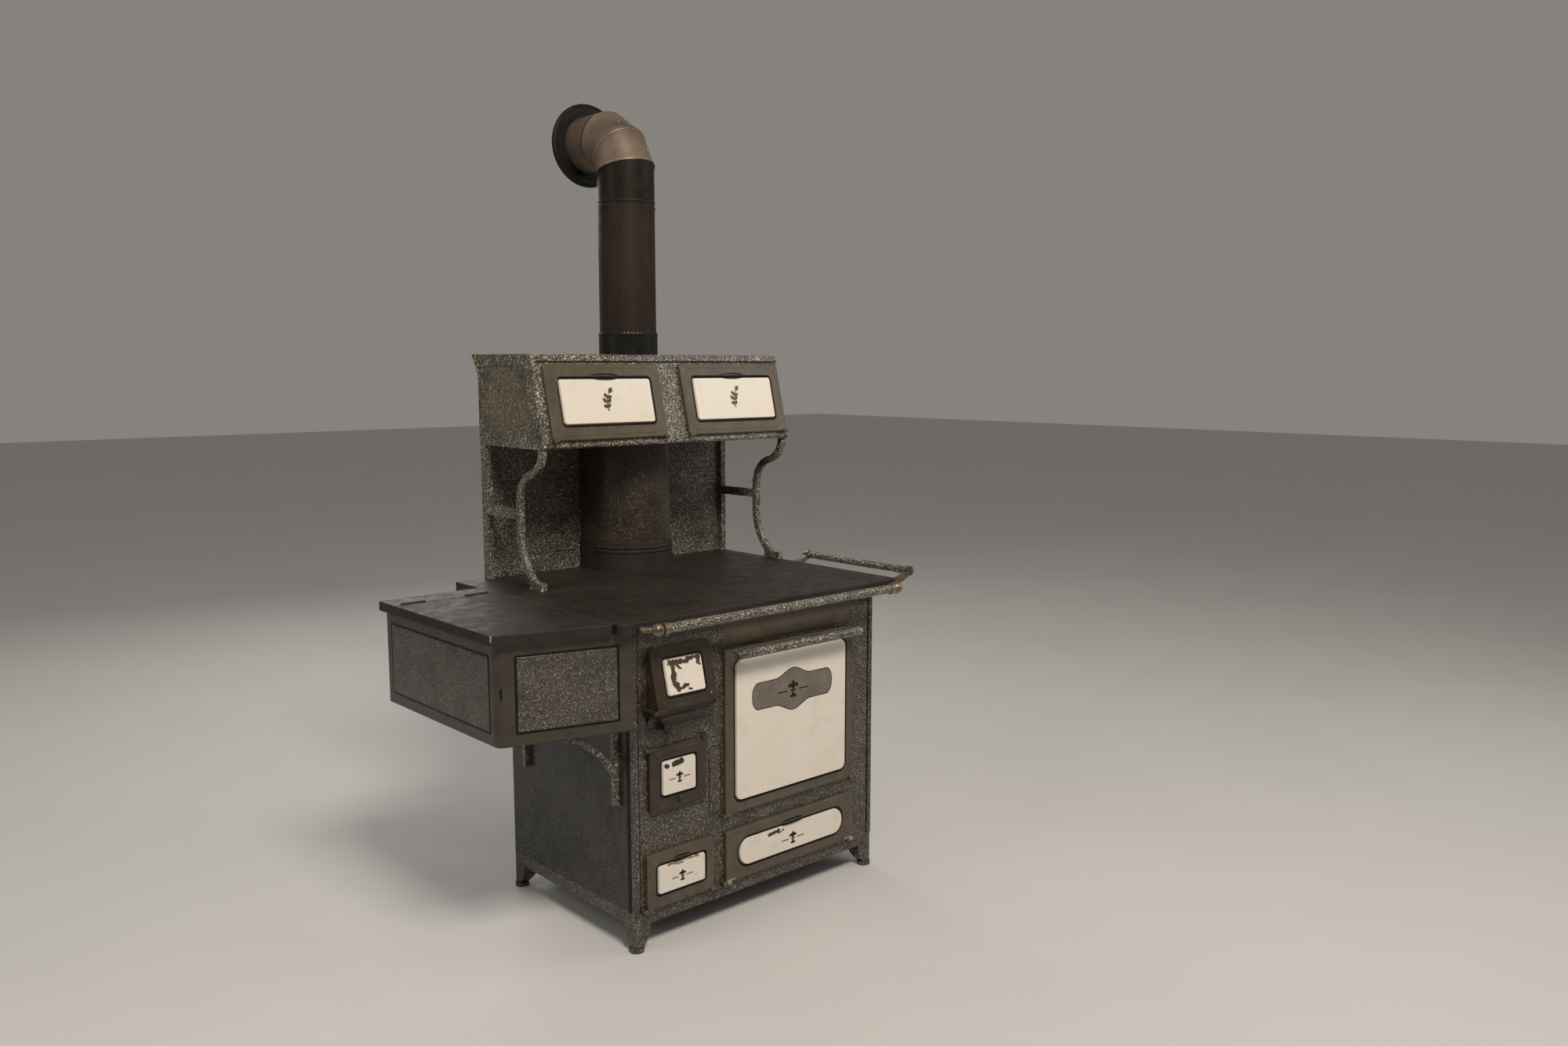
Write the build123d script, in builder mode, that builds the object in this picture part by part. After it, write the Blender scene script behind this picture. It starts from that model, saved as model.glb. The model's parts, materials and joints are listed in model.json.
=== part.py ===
"""A cast-iron wood and coal cooking range with a warming closet, a side water reservoir,
and a stovepipe that turns back into a wall collar.

Millimetres, +Z up, +X to the right and +Y into the wall as someone stands in front of it.
The origin is on the floor under the middle of the whole range, from the reservoir lid to the
towel bar, and from the front rail to the end of the flue pipe."""
import os
from math import cos, radians, sin, tan

from build123d import *

os.makedirs("parts", exist_ok=True)

# The front, from the left: two columns of doors
side_margin = 30          # body's left side to the ash door
ash_width = 212
draft_width = 178
fire_width = 186
draft_shift = 6           # draft door's middle, left of the ash door's middle
mullion = 41              # between the two columns
oven_door_width = 466
right_margin = 87

# The front, from the floor up
base_height = 98          # floor to the bottom of the body
door_foot = 6             # bottom of the body to the lowest doors
ash_height = 142
draft_gap = 106           # ash door to draft door
draft_height = 161
fire_gap = 99             # draft door to fire door
fire_rise = 151           # height of the leaning fire door, measured upright
fire_lean = 14            # degrees
fire_headroom = 65        # fire door to the top of the body
storage_height = 138
oven_gap = 44             # storage door to oven door
oven_door_height = 438

# Cooking top
top_depth = 800
top_plate = 12            # thickness of the cooking plates
top_rim = 26              # depth of the rim round the top
rim_wall = 14
top_corner = 20
top_edge = 3
left_overhang = 50        # top beyond the body, on each side
right_overhang = 76
front_overhang = 32
back_setback = 200        # body's back, in from the top's back edge

# What reaches past the top on each side, which sets where the origin is
lid_reach = 286           # reservoir lid, to the left
bar_reach = 99            # towel bar's rings, to the right
rail_reach = 57           # front rail's bulbs, to the front
wall_gap = 90             # back of the top to the room's wall
stub_reach = 40           # flue pipe's end, past the wall

# Castings and sheets
skirt_height = 32
leg_width = 46
ankle_width = 24
leg_curve = 75
bottom_plate = 6
foot_radius = 19
foot_height = 10
front_wall = 12
sheet = 4                 # side and back sheets, oven and storage boxes

# Doors: a cast frame that lies on the front, with a porcelain panel let into it
seat_gap = 1              # behind a shut door
shut_gap = 5              # from a shut door's free edge to what stands out past it
door_thick = 12
door_corner = 9
door_round = 4            # on the frame's front edge
panel_thick = 8
panel_recess = 5
panel_border = 6          # gap round each panel
panel_bevel = 7
panel_rim = 0.5           # upright edge left under the bevel
notch_depth = 8
notch_step = 2            # notch in the panel, shallower than in the frame
notch_share = 0.84        # and narrower
pull_rise = 12            # draft door's wire pull, above the door's bottom
pull_radius = 9
pull_rod = 2.5
pull_sink = 1             # its ends, let into the frame
mouth_lip = 10            # straight lip under the leaning fire door
head_recess = 2           # depth of the plain field over the oven door
head_margin = 7           # under the field
head_top = 34             # over the field, up to the top of the body
edge_bead = 7             # radius of the bead up each end of the front
seam_rise = 93            # ash door to the seam over it
groove = 2
door_lap = 14             # door beyond its opening
hinge_gap = 1.5           # knuckle to lug, along the hinge
knuckle_radius = 6
knuckle_length = 14
lug_length = 12
lug_bite = 1              # webs behind the lugs, let into the front

# Warming closet
back_height = 382         # cooking surface to the closet's bottom
closet_width = 874
closet_height = 252
closet_base_depth = 340
closet_lean = 13.8        # degrees that its front leans back
closet_wall = 5
closet_divider = 30
closet_sill = 20          # closet's bottom to its doors
closet_left_edge = 26     # closet's sides to its doors
closet_right_edge = 16
closet_door_height = 210
closet_middle = 76        # between its doors
closet_round = 8          # edges of its front
closet_band = 7           # how far the band over its doors stands out
side_seam_top = 104       # seam down each side, in from the back
side_seam_bottom = 66
side_panel_depth = 2
side_border = 30
side_border_front = 54    # border at the foot of the leaning front
flare = 18                # closet's back top corners, outwards

# Water reservoir
reservoir_height = 244
reservoir_depth = 645     # along the body's side
reservoir_wall = 5
reservoir_back = 130      # its back, in from the top's back edge
reservoir_slant = 16      # degrees that its front is turned
reservoir_corner = 24
reservoir_round = 4       # edges of its bottom
lid_thick = 24
lid_overhang = 20
lid_gap = 2
fixed_strip = 85          # part of its top behind the lid
lid_corner = 12           # reservoir lid's front corners
pintle_radius = 5
pintle_bite = 1           # pintles' webs, let into the strip

# Flue and stovepipe
pipe_radius = 83
pipe_axis_back = 110      # pipe's axis, in from the top's back edge
bend_radius = 125
collar_height = 61
collar_grow = 3
pipe_joint = 370          # length of the straight pipe above the collar
elbow_foot = 70           # straight part of the elbow, below its bend
elbow_arm = 20            # straight part of the elbow, past its bend
bead = 3                  # height of the beads on pipe and column
bead_width = 6
crimp = 3                 # how much the crimped end is smaller than the pipe
wall_collar_radius = 122
wall_collar_thick = 12
column_radius = 118
column_collar = 85        # height of the collar under the flue column
column_bead_rise = 58     # cooking surface to the collar's beads
column_step = 4
column_wall = 5
pipe_wall = 2
duct_radius = 76          # flue through the closet and the top
duct_wall = 3

# Rails
rail_radius = 12
ring_length = 16
ring_grow = 3
bulb_radius = 17
bulb_sink = 3.4           # bulb, let into its ring
neck_radius = 8
rail_drop = 16            # rail's axis below the cooking surface
rail_left_inset = 56      # rail's left end, in from the body's left side
rail_right_inset = 6
bar_radius = 11
bar_rise = 8              # towel bar's axis above the cooking surface
bar_length = 410
bar_front_inset = 45

# Places that follow from the sizes above
body_width = side_margin + ash_width + mullion + oven_door_width + right_margin
top_width = left_overhang + body_width + right_overhang
x_left = lid_reach - (lid_reach + top_width + bar_reach) / 2
x_right = x_left + top_width
y_end = (stub_reach + wall_gap + top_depth + rail_reach) / 2
y_wall = y_end - stub_reach
y_back = y_wall - wall_gap
y_front = y_back - top_depth
body_left = x_left + left_overhang
body_right = x_right - right_overhang
body_x = (body_left + body_right) / 2
body_front = y_front + front_overhang
body_back = y_back - back_setback
body_y = (body_front + body_back) / 2
fire_x = body_left + side_margin + ash_width / 2
oven_x = body_right - right_margin - oven_door_width / 2
ash_bottom = base_height + door_foot
ash_top = ash_bottom + ash_height
draft_bottom = ash_top + draft_gap
fire_bottom = draft_bottom + draft_height + fire_gap
body_top = fire_bottom + fire_rise + fire_headroom
top_height = body_top + top_plate
oven_bottom = ash_bottom + storage_height + oven_gap
closet_right = x_right
closet_left = closet_right - closet_width
closet_x = (closet_left + closet_right) / 2
closet_bottom = top_height + back_height
closet_top = closet_bottom + closet_height
closet_front = y_back - closet_base_depth
closet_slope = tan(radians(closet_lean))
closet_top_front = closet_front + closet_height * closet_slope
pipe_y = y_back - pipe_axis_back
cut = 2 * top_width       # side of a block that trims others


def leaning(y, z, lean):
    """The plane of a door's back face: x to the right, y up the door, z out of it."""
    out = (0, -cos(radians(lean)), sin(radians(lean)))
    return Plane(origin=(0, y, z), x_dir=(1, 0, 0), z_dir=out)


def save(builder, label):
    """Name a finished piece and write it."""
    builder.part.label = label
    export_step(builder.part, f"parts/{label}.step")


# The doors. Hinged edge is 0 for the bottom edge and 1 for the top edge.
# name: middle x, y of the opening's face, bottom z, lean, width, height, hinged edge,
#       frame beside the panel, frame above and below it, panel corner, finger notch's width
fire_height = fire_rise / cos(radians(fire_lean))
fire_mouth = fire_rise * tan(radians(fire_lean))
closet_face = closet_front + closet_sill * closet_slope
closet_door_width = (closet_width - closet_left_edge - closet_right_edge - closet_middle) / 2
closet_left_x = closet_left + closet_left_edge + closet_door_width / 2
closet_right_x = closet_right - closet_right_edge - closet_door_width / 2
closet_door_z = closet_bottom + closet_sill
doors = {
    "fire": (fire_x, body_front - fire_mouth, fire_bottom, fire_lean,
             fire_width, fire_height, 0, 34, 32, 8, 0),
    "draft": (fire_x - draft_shift, body_front, draft_bottom, 0,
              draft_width, draft_height, 1, 36, 36, 8, 0),
    "ash": (fire_x, body_front, ash_bottom, 0,
            ash_width, ash_height, 0, 31, 34, 8, 60),
    "oven": (oven_x, body_front, oven_bottom, 0,
             oven_door_width, oven_door_height, 0, 32, 32, 20, 0),
    "storage": (oven_x, body_front, ash_bottom, 0,
                oven_door_width, storage_height, 0, 43, 32, 34, 90),
    "closet_left": (closet_left_x, closet_face, closet_door_z, closet_lean,
                    closet_door_width, closet_door_height, 0, 39, 42, 9, 96),
    "closet_right": (closet_right_x, closet_face, closet_door_z, closet_lean,
                     closet_door_width, closet_door_height, 0, 39, 42, 9, 96),
}

hinges = {}
for door, (x, y, z, lean, width, height, edge, beside, above, panel_r, notch) in doors.items():
    panel_w = width - 2 * beside
    panel_h = height - 2 * above
    back = leaning(y, z, lean).offset(seat_gap)
    hinge = back.from_local_coords((x, edge * height, door_thick))
    hinges[door] = hinge
    panel_top = (height + panel_h) / 2
    with BuildPart() as frame:
        with BuildSketch(back):
            with Locations((x, height / 2)):
                RectangleRounded(width, height, door_corner)
        extrude(amount=door_thick)
        front_face = frame.faces().sort_by(Axis(back.origin, back.z_dir))[-1]
        fillet(front_face.outer_wire().edges(), door_round)
        with Locations(Location((hinge.X, hinge.Y, hinge.Z))):
            for side in (-1, 1):
                with Locations((side * (width - knuckle_length) / 2, 0, 0)):
                    Cylinder(knuckle_radius, knuckle_length, rotation=(0, 90, 0))
        with BuildSketch(back.offset(door_thick)):
            with Locations((x, height / 2)):
                RectangleRounded(panel_w + 2 * panel_border, panel_h + 2 * panel_border,
                                 panel_r + panel_border)
            if notch:
                with Locations((x, panel_top + panel_border)):
                    Ellipse(notch / 2, notch_depth)
        extrude(amount=-panel_recess, mode=Mode.SUBTRACT)
        if door == "draft":
            with BuildSketch(back.offset(door_thick - pull_sink)):
                with Locations((x, pull_rise)):
                    Circle(pull_rod)
            pull_middle = back.from_local_coords((x, pull_rise + pull_radius, door_thick - pull_sink))
            revolve(axis=Axis(pull_middle, (1, 0, 0)), revolution_arc=-180)
    save(frame, f"{door}_door")

    with BuildPart() as panel:
        with BuildSketch(back.offset(door_thick - panel_recess)):
            with Locations((x, height / 2)):
                RectangleRounded(panel_w, panel_h, panel_r)
        extrude(amount=panel_thick)
        face = panel.faces().sort_by(Axis(back.origin, back.z_dir))[-1]
        panel_rise = panel_thick - panel_recess - panel_rim
        chamfer(face.outer_wire().edges(), panel_rise, panel_bevel, reference=face)
        if notch:
            with BuildSketch(back.offset(door_thick - panel_recess)):
                with Locations((x, panel_top)):
                    Ellipse(notch_share * notch / 2, notch_depth - notch_step)
            extrude(amount=panel_thick, mode=Mode.SUBTRACT)
    save(panel, f"{door}_panel")

# Oven door's grip rail: as wide as the door, on two posts on the frame above the panel
grip_radius = 12
grip_inset = 8            # its ends, in from the door's sides
grip_post = 4             # radius
grip_post_inset = 26
grip_reach = 38           # its axis, out from the door
grip_z = oven_bottom + oven_door_height - door_round - grip_post
grip_front = body_front - seat_gap - door_thick
grip_length = oven_door_width - 2 * grip_inset
with BuildPart() as oven_handle:
    with Locations((oven_x, grip_front - grip_reach, grip_z)):
        Cylinder(grip_radius, grip_length, rotation=(0, 90, 0))
    fillet(oven_handle.edges().filter_by(GeomType.CIRCLE), grip_radius / 2)
    with BuildSketch(Plane.XZ.offset(-grip_front)):
        with Locations((oven_x, grip_z)):
            with GridLocations(grip_length - 2 * grip_post_inset, 1, 2, 1):
                Circle(grip_post)
    extrude(amount=grip_reach)
save(oven_handle, "oven_handle")

# Front casting: a plate with the openings, the leaning fire mouth, a bead up each end, and the
# hinge lugs
front_doors = ("fire", "draft", "ash", "oven", "storage")
with BuildPart() as front_frame:
    with BuildSketch(Plane.XZ.offset(-body_front)):
        with Locations((body_x, (base_height + body_top) / 2)):
            Rectangle(body_width, body_top - base_height)
    extrude(amount=-front_wall)
    mouth_bottom = fire_bottom - mouth_lip
    with BuildSketch(Plane.YZ.offset(fire_x - fire_width / 2)):
        with BuildLine():
            Polyline((body_front, fire_bottom + fire_rise), (body_front - fire_mouth, fire_bottom),
                     (body_front - fire_mouth, mouth_bottom))
            RadiusArc((body_front - fire_mouth, mouth_bottom), (body_front, mouth_bottom - fire_mouth),
                      fire_mouth)
            Line((body_front, mouth_bottom - fire_mouth), (body_front, fire_bottom + fire_rise))
        make_face()
    extrude(amount=fire_width)
    for x in (body_left + edge_bead, body_right - edge_bead):
        with Locations((x, body_front, (base_height + body_top) / 2)):
            Cylinder(edge_bead, body_top - base_height)
    for door in front_doors:
        x, y, z, lean, width, height, edge, beside, above, panel_r, notch = doors[door]
        with BuildSketch(leaning(y, z, lean).offset(seat_gap)):
            with Locations((x, height / 2)):
                RectangleRounded(width - 2 * door_lap, height - 2 * door_lap, door_corner)
        extrude(amount=-(front_wall + 2 * fire_mouth), mode=Mode.SUBTRACT)
    for z in (ash_top + seam_rise, draft_bottom + draft_height + fire_gap / 2):
        with Locations((body_left + (2 * edge_bead + side_margin + ash_width) / 2, body_front, z)):
            Box(side_margin + ash_width - 2 * edge_bead, groove, groove, mode=Mode.SUBTRACT)
    field_bottom = oven_bottom + oven_door_height + head_margin
    field_top = body_top - head_top
    with BuildSketch(Plane.XZ.offset(-body_front)):
        with Locations((oven_x, (field_bottom + field_top) / 2)):
            RectangleRounded(oven_door_width, field_top - field_bottom, door_corner / 2)
    extrude(amount=-head_recess, mode=Mode.SUBTRACT)
    for door in front_doors:
        x, y, z, lean, width, height, edge, beside, above, panel_r, notch = doors[door]
        hinge = hinges[door]
        lug_reach = body_front - hinge.Y + lug_bite
        for side in (-1, 1):
            lug_x = x + side * (width / 2 + hinge_gap + lug_length / 2)
            with Locations((lug_x, hinge.Y, hinge.Z)):
                Cylinder(knuckle_radius, lug_length, rotation=(0, 90, 0))
            with Locations((lug_x, hinge.Y + lug_reach / 2, hinge.Z)):
                Box(lug_length, lug_reach, knuckle_radius)
save(front_frame, "front_frame")

# Side and back sheets
for label, x in (("side_left", body_left), ("side_right", body_right - sheet)):
    with BuildPart() as side_sheet:
        with Locations((x, body_front + front_wall, base_height)):
            Box(sheet, body_back - body_front - front_wall, body_top - base_height,
                align=(Align.MIN, Align.MIN, Align.MIN))
    save(side_sheet, label)

with BuildPart() as back_sheet:
    with Locations((body_x, body_back, base_height)):
        Box(body_width - 2 * sheet, sheet, body_top - base_height,
            align=(Align.CENTER, Align.MAX, Align.MIN))
save(back_sheet, "back_sheet")

# Flue casing behind the body, from under the top down past the oven
casing_width = 440
casing_corner = 30
casing_wall = 4
with BuildPart() as flue_casing:
    with Locations((oven_x, body_back, body_top)):
        Box(casing_width, y_back - rim_wall - body_back, body_top - oven_bottom,
            align=(Align.CENTER, Align.MIN, Align.MAX))
    fillet(flue_casing.edges().filter_by(Axis.Z).group_by(Axis.Y)[-1], casing_corner)
    fillet(flue_casing.edges().group_by(Axis.Z)[0].filter_by(Axis.X).sort_by(Axis.Y)[-1], casing_corner)
    offset(amount=-casing_wall, openings=flue_casing.faces().sort_by(Axis.Z)[-1])
save(flue_casing, "flue_casing")

# One leg: a square boss that curves in to the ankle on its two inner sides. It is drawn for the
# left front corner, and turned for the others.
with BuildPart() as leg:
    leg_top = base_height - skirt_height
    curve_drop = leg_top - foot_height
    for plane in (Plane.XZ, Plane.YZ):
        with BuildSketch(plane):
            with BuildLine():
                Line((0, foot_height), (0, leg_top + skirt_height / 2))
                Line((0, leg_top + skirt_height / 2), (leg_width, leg_top + skirt_height / 2))
                Line((leg_width, leg_top + skirt_height / 2), (leg_width, leg_top))
                RadiusArc((leg_width, leg_top), (ankle_width, foot_height), leg_curve)
                Line((ankle_width, foot_height), (0, foot_height))
            make_face()
        extrude(amount=leg_width if plane == Plane.YZ else -leg_width,
                mode=Mode.ADD if plane == Plane.XZ else Mode.INTERSECT)
    with Locations((ankle_width / 2, ankle_width / 2, foot_height / 2)):
        Cylinder(foot_radius, foot_height)

# Base: bottom plate, skirt and the four legs
with BuildPart() as base:
    base_depth = body_back - body_front
    with Locations((body_x, body_y, base_height)):
        Box(body_width, base_depth, skirt_height, align=(Align.CENTER, Align.CENTER, Align.MAX))
    with Locations((body_x, body_y, base_height - bottom_plate)):
        Box(body_width - 2 * rim_wall, base_depth - 2 * rim_wall, skirt_height,
            align=(Align.CENTER, Align.CENTER, Align.MAX), mode=Mode.SUBTRACT)
    corner = Pos(body_left - body_x, body_front - body_y) * leg.part
    for side_x in (0, 1):
        for side_y in (0, 1):
            turned = corner
            if side_x:
                turned = turned.mirror(Plane.YZ)
            if side_y:
                turned = turned.mirror(Plane.XZ)
            add(Pos(body_x, body_y) * turned)
save(base, "base")

# Oven: a box open to the front, with ribs that carry the rack
oven_x_half = oven_door_width / 2 - door_lap + sheet
oven_floor = oven_bottom + door_lap - sheet
oven_roof = oven_bottom + oven_door_height - door_lap + sheet
oven_front = body_front + front_wall
oven_flue = 40            # space for smoke behind the oven
oven_back = body_back - oven_flue
rib = 8
rack_rise = 170           # oven floor to the rack
rack_z = oven_floor + rack_rise
with BuildPart() as oven_box:
    with Locations((oven_x, oven_front, (oven_floor + oven_roof) / 2)):
        Box(2 * oven_x_half, oven_back - oven_front, oven_roof - oven_floor,
            align=(Align.CENTER, Align.MIN, Align.CENTER))
        Box(2 * (oven_x_half - sheet), oven_back - oven_front - sheet, oven_roof - oven_floor - 2 * sheet,
            align=(Align.CENTER, Align.MIN, Align.CENTER), mode=Mode.SUBTRACT)
    for side in (-1, 1):
        with Locations((oven_x + side * (oven_x_half - sheet - rib / 2), oven_front, rack_z)):
            Box(rib, oven_back - oven_front, rib, align=(Align.CENTER, Align.MIN, Align.MAX))
save(oven_box, "oven_box")

# Oven rack, on the ribs
rack_rod = 6
rack_gap = 2
rack_width = 2 * (oven_x_half - sheet - rack_gap)
rack_depth = oven_back - oven_front - sheet - 2 * rack_rod
rack_bars = 13
with BuildPart() as oven_rack:
    with Locations((oven_x, (oven_front + oven_back - sheet) / 2, rack_z + rack_rod / 2)):
        Box(rack_width, rack_depth, rack_rod)
        Box(rack_width - 2 * rack_rod, rack_depth - 2 * rack_rod, rack_rod, mode=Mode.SUBTRACT)
        with GridLocations(rack_width / (rack_bars + 1), 0, rack_bars, 1):
            Box(rack_rod, rack_depth - rack_rod, rack_rod)
save(oven_rack, "oven_rack")

# Firebox: wall beside the oven, wall behind the fire, and the grate
fire_wall = 12
fire_width_inside = 246
fire_depth_inside = 482
grate_rise = 462          # body's bottom to the grate
grate_thick = 10
grate_slots = 7
grate_bar = 36
grate_slot = 24
grate_border = 33
fire_left = body_left + sheet
fire_wall_x = fire_left + fire_width_inside
fire_back = oven_front + fire_depth_inside
grate_z = base_height + grate_rise
with BuildPart() as firebox:
    with Locations((fire_wall_x, oven_front, base_height)):
        Box(fire_wall, fire_depth_inside + fire_wall, body_top - base_height,
            align=(Align.MIN, Align.MIN, Align.MIN))
    with Locations((fire_left, fire_back, base_height)):
        Box(fire_width_inside, fire_wall, body_top - base_height,
            align=(Align.MIN, Align.MIN, Align.MIN))
    with Locations((fire_left + fire_width_inside / 2, oven_front + fire_depth_inside / 2, grate_z)):
        Box(fire_width_inside, fire_depth_inside, grate_thick)
        with GridLocations(0, grate_bar + grate_slot, 1, grate_slots):
            Box(fire_width_inside - 2 * grate_border, grate_slot, grate_thick, mode=Mode.SUBTRACT)
save(firebox, "firebox")

# Storage space under the oven
storage_roof = ash_bottom + storage_height - door_lap + sheet
with BuildPart() as storage_box:
    with Locations((oven_x, oven_front, (base_height + storage_roof) / 2)):
        Box(2 * oven_x_half, oven_back - oven_front, storage_roof - base_height,
            align=(Align.CENTER, Align.MIN, Align.CENTER))
        Box(2 * (oven_x_half - sheet), oven_back - oven_front - sheet,
            storage_roof - base_height - 2 * sheet,
            align=(Align.CENTER, Align.MIN, Align.CENTER), mode=Mode.SUBTRACT)
save(storage_box, "storage_box")

# Closet brackets' sizes, which the lids keep clear of
bracket_thick = 18
bracket_foot = 308        # bracket's foot, in front of the top's back edge

# Cooking top, with a rim round it, a ledge for each lid, and a window for the oven's plate
lid_radius = 98
lid_plate = 9
lid_fit = 1.5             # round each lid
lid_ledge = 9
lid_space = 12            # between lids and from them to what stands beside them
lid_bridge = 48           # between the two columns of lids
plate_border = 42         # round the oven plate
plate_width = 250
plate_fit = 1
lid_row = 2 * lid_radius + lid_space
lid_first_x = closet_left + bracket_thick + lid_space + lid_radius
lid_second_x = lid_first_x + 2 * lid_radius + lid_bridge
lid_first_y = y_front + rim_wall + 2 * lid_space + lid_radius
# name: x and y of the lid's middle
lid_places = {
    "lid_front_left": (lid_first_x, lid_first_y),
    "lid_rear_left": (lid_first_x, lid_first_y + lid_row),
    "lid_front_middle": (lid_second_x, lid_first_y),
    "lid_rear_middle": (lid_second_x, lid_first_y + lid_row),
}
plate_x = x_right - plate_border - plate_width / 2
plate_depth = top_depth - bracket_foot - 2 * plate_border
plate_y = y_front + plate_border + plate_depth / 2
with BuildPart() as cooktop:
    with BuildSketch(Plane.XY.offset(top_height - top_rim)):
        with Locations(((x_left + x_right) / 2, (y_front + y_back) / 2)):
            Rectangle(top_width, top_depth)
    extrude(amount=top_rim)
    fillet(cooktop.edges().filter_by(Axis.Z).group_by(Axis.Y)[0], top_corner)
    fillet(cooktop.faces().sort_by(Axis.Z)[-1].outer_wire().edges(), top_edge)
    with BuildSketch(Plane.XY.offset(top_height - top_rim)):
        with Locations(((x_left + x_right) / 2, (y_front + y_back) / 2)):
            Rectangle(top_width - 2 * rim_wall, top_depth - 2 * rim_wall)
    extrude(amount=top_rim - top_plate, mode=Mode.SUBTRACT)
    for x, y in lid_places.values():
        with Locations((x, y, top_height)):
            Cylinder(lid_radius + lid_fit, 2 * lid_plate, mode=Mode.SUBTRACT)
            Cylinder(lid_radius - lid_ledge, 4 * top_plate, mode=Mode.SUBTRACT)
    with Locations((plate_x, plate_y, top_height)):
        Box(plate_width + 2 * plate_fit, plate_depth + 2 * plate_fit, 2 * lid_plate, mode=Mode.SUBTRACT)
        Box(plate_width - 2 * lid_ledge, plate_depth - 2 * lid_ledge, 4 * top_plate, mode=Mode.SUBTRACT)
    with Locations((closet_x, pipe_y, top_height)):
        Cylinder(duct_radius, 4 * top_plate, mode=Mode.SUBTRACT)
    seam_x = (x_left + closet_left) / 2
    with Locations((seam_x, y_front + (top_depth - bracket_foot) / 2, top_height)):
        Box(groove, top_depth - bracket_foot, groove, mode=Mode.SUBTRACT)
    with Locations(((x_left + x_right) / 2, y_back - bracket_foot - lid_space, top_height)):
        Box(top_width, groove, groove, mode=Mode.SUBTRACT)
save(cooktop, "cooktop")

lifter_width = 22
lifter_depth = 5
lifter_inset = 27         # its middle, in from the lid's edge
lid_bevel = 1
for label, (x, y) in lid_places.items():
    with BuildPart() as cook_lid:
        with Locations((x, y, top_height)):
            Cylinder(lid_radius, lid_plate, align=(Align.CENTER, Align.CENTER, Align.MAX))
        with Locations((x, y - lid_radius + lifter_inset, top_height)):
            Box(lifter_width, lifter_width / 2, 2 * lifter_depth, mode=Mode.SUBTRACT)
        chamfer(cook_lid.faces().sort_by(Axis.Z)[-1].outer_wire().edges(), lid_bevel)
    save(cook_lid, label)

with BuildPart() as oven_plate:
    with Locations((plate_x, plate_y, top_height)):
        Box(plate_width, plate_depth, lid_plate, align=(Align.CENTER, Align.CENTER, Align.MAX))
save(oven_plate, "oven_plate")

# Splash back between the closet's posts, with grooves across it
splash_thick = 12
splash_gap = 4            # its back, in from the top's back edge
splash_grooves = 6
splash_front = y_back - splash_gap - splash_thick
with BuildPart() as splash_back:
    splash_width = closet_width - 2 * bracket_thick
    with Locations((closet_x, splash_front, top_height)):
        Box(splash_width, splash_thick, back_height, align=(Align.CENTER, Align.MIN, Align.MIN))
    groove_step = back_height / (splash_grooves + 1)
    for index in range(splash_grooves):
        with Locations((closet_x, splash_front, top_height + groove_step * (index + 1))):
            Box(splash_width, 2 * groove, 2 * groove, mode=Mode.SUBTRACT)
save(splash_back, "splash_back")

# Flue column up the middle of the splash back, and the collar that it stands in. Each is round in
# front, straight at its sides, and ends at the splash back.
column_bead_z = top_height + column_bead_rise
columns = {
    # name: bottom, top, radius
    "flue_collar": (top_height, top_height + column_collar, column_radius + column_step),
    "flue_column": (top_height + column_collar, closet_bottom, column_radius),
}
for label, (bottom, top, radius) in columns.items():
    with BuildPart() as column:
        with BuildSketch(Plane.XY.offset(bottom)):
            with Locations((closet_x, pipe_y)):
                Circle(radius)
            with Locations((closet_x, pipe_y)):
                Rectangle(2 * radius, splash_front - pipe_y, align=(Align.CENTER, Align.MIN))
            with Locations((closet_x, splash_front)):
                Rectangle(cut, cut, align=(Align.CENTER, Align.MIN), mode=Mode.SUBTRACT)
        extrude(amount=top - bottom)
        if label == "flue_collar":
            for z in (column_bead_z, column_bead_z + 2 * bead_width):
                with BuildSketch(Plane.XY.offset(z)):
                    with Locations((closet_x, pipe_y)):
                        Circle(radius + bead)
                    with Locations((closet_x, pipe_y)):
                        Rectangle(cut, cut, align=(Align.CENTER, Align.MIN), mode=Mode.SUBTRACT)
                extrude(amount=bead_width)
        with BuildSketch(Plane.XY.offset(bottom)):
            with Locations((closet_x, pipe_y)):
                Circle(radius - column_wall)
                Rectangle(2 * (radius - column_wall), splash_front - pipe_y,
                          align=(Align.CENTER, Align.MIN))
            with Locations((closet_x, splash_front)):
                Rectangle(cut, cut, align=(Align.CENTER, Align.MIN), mode=Mode.SUBTRACT)
        extrude(amount=top - bottom, mode=Mode.SUBTRACT)
    save(column, label)

# Closet brackets: post, strap, curved arm and foot in one casting on each side
arm_width = 24
post_depth = 28
strap_width = 26
strap_drop = 182          # closet's bottom to the strap
foot_length = 64
foot_thick = 22
arm_round = 6
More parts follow.
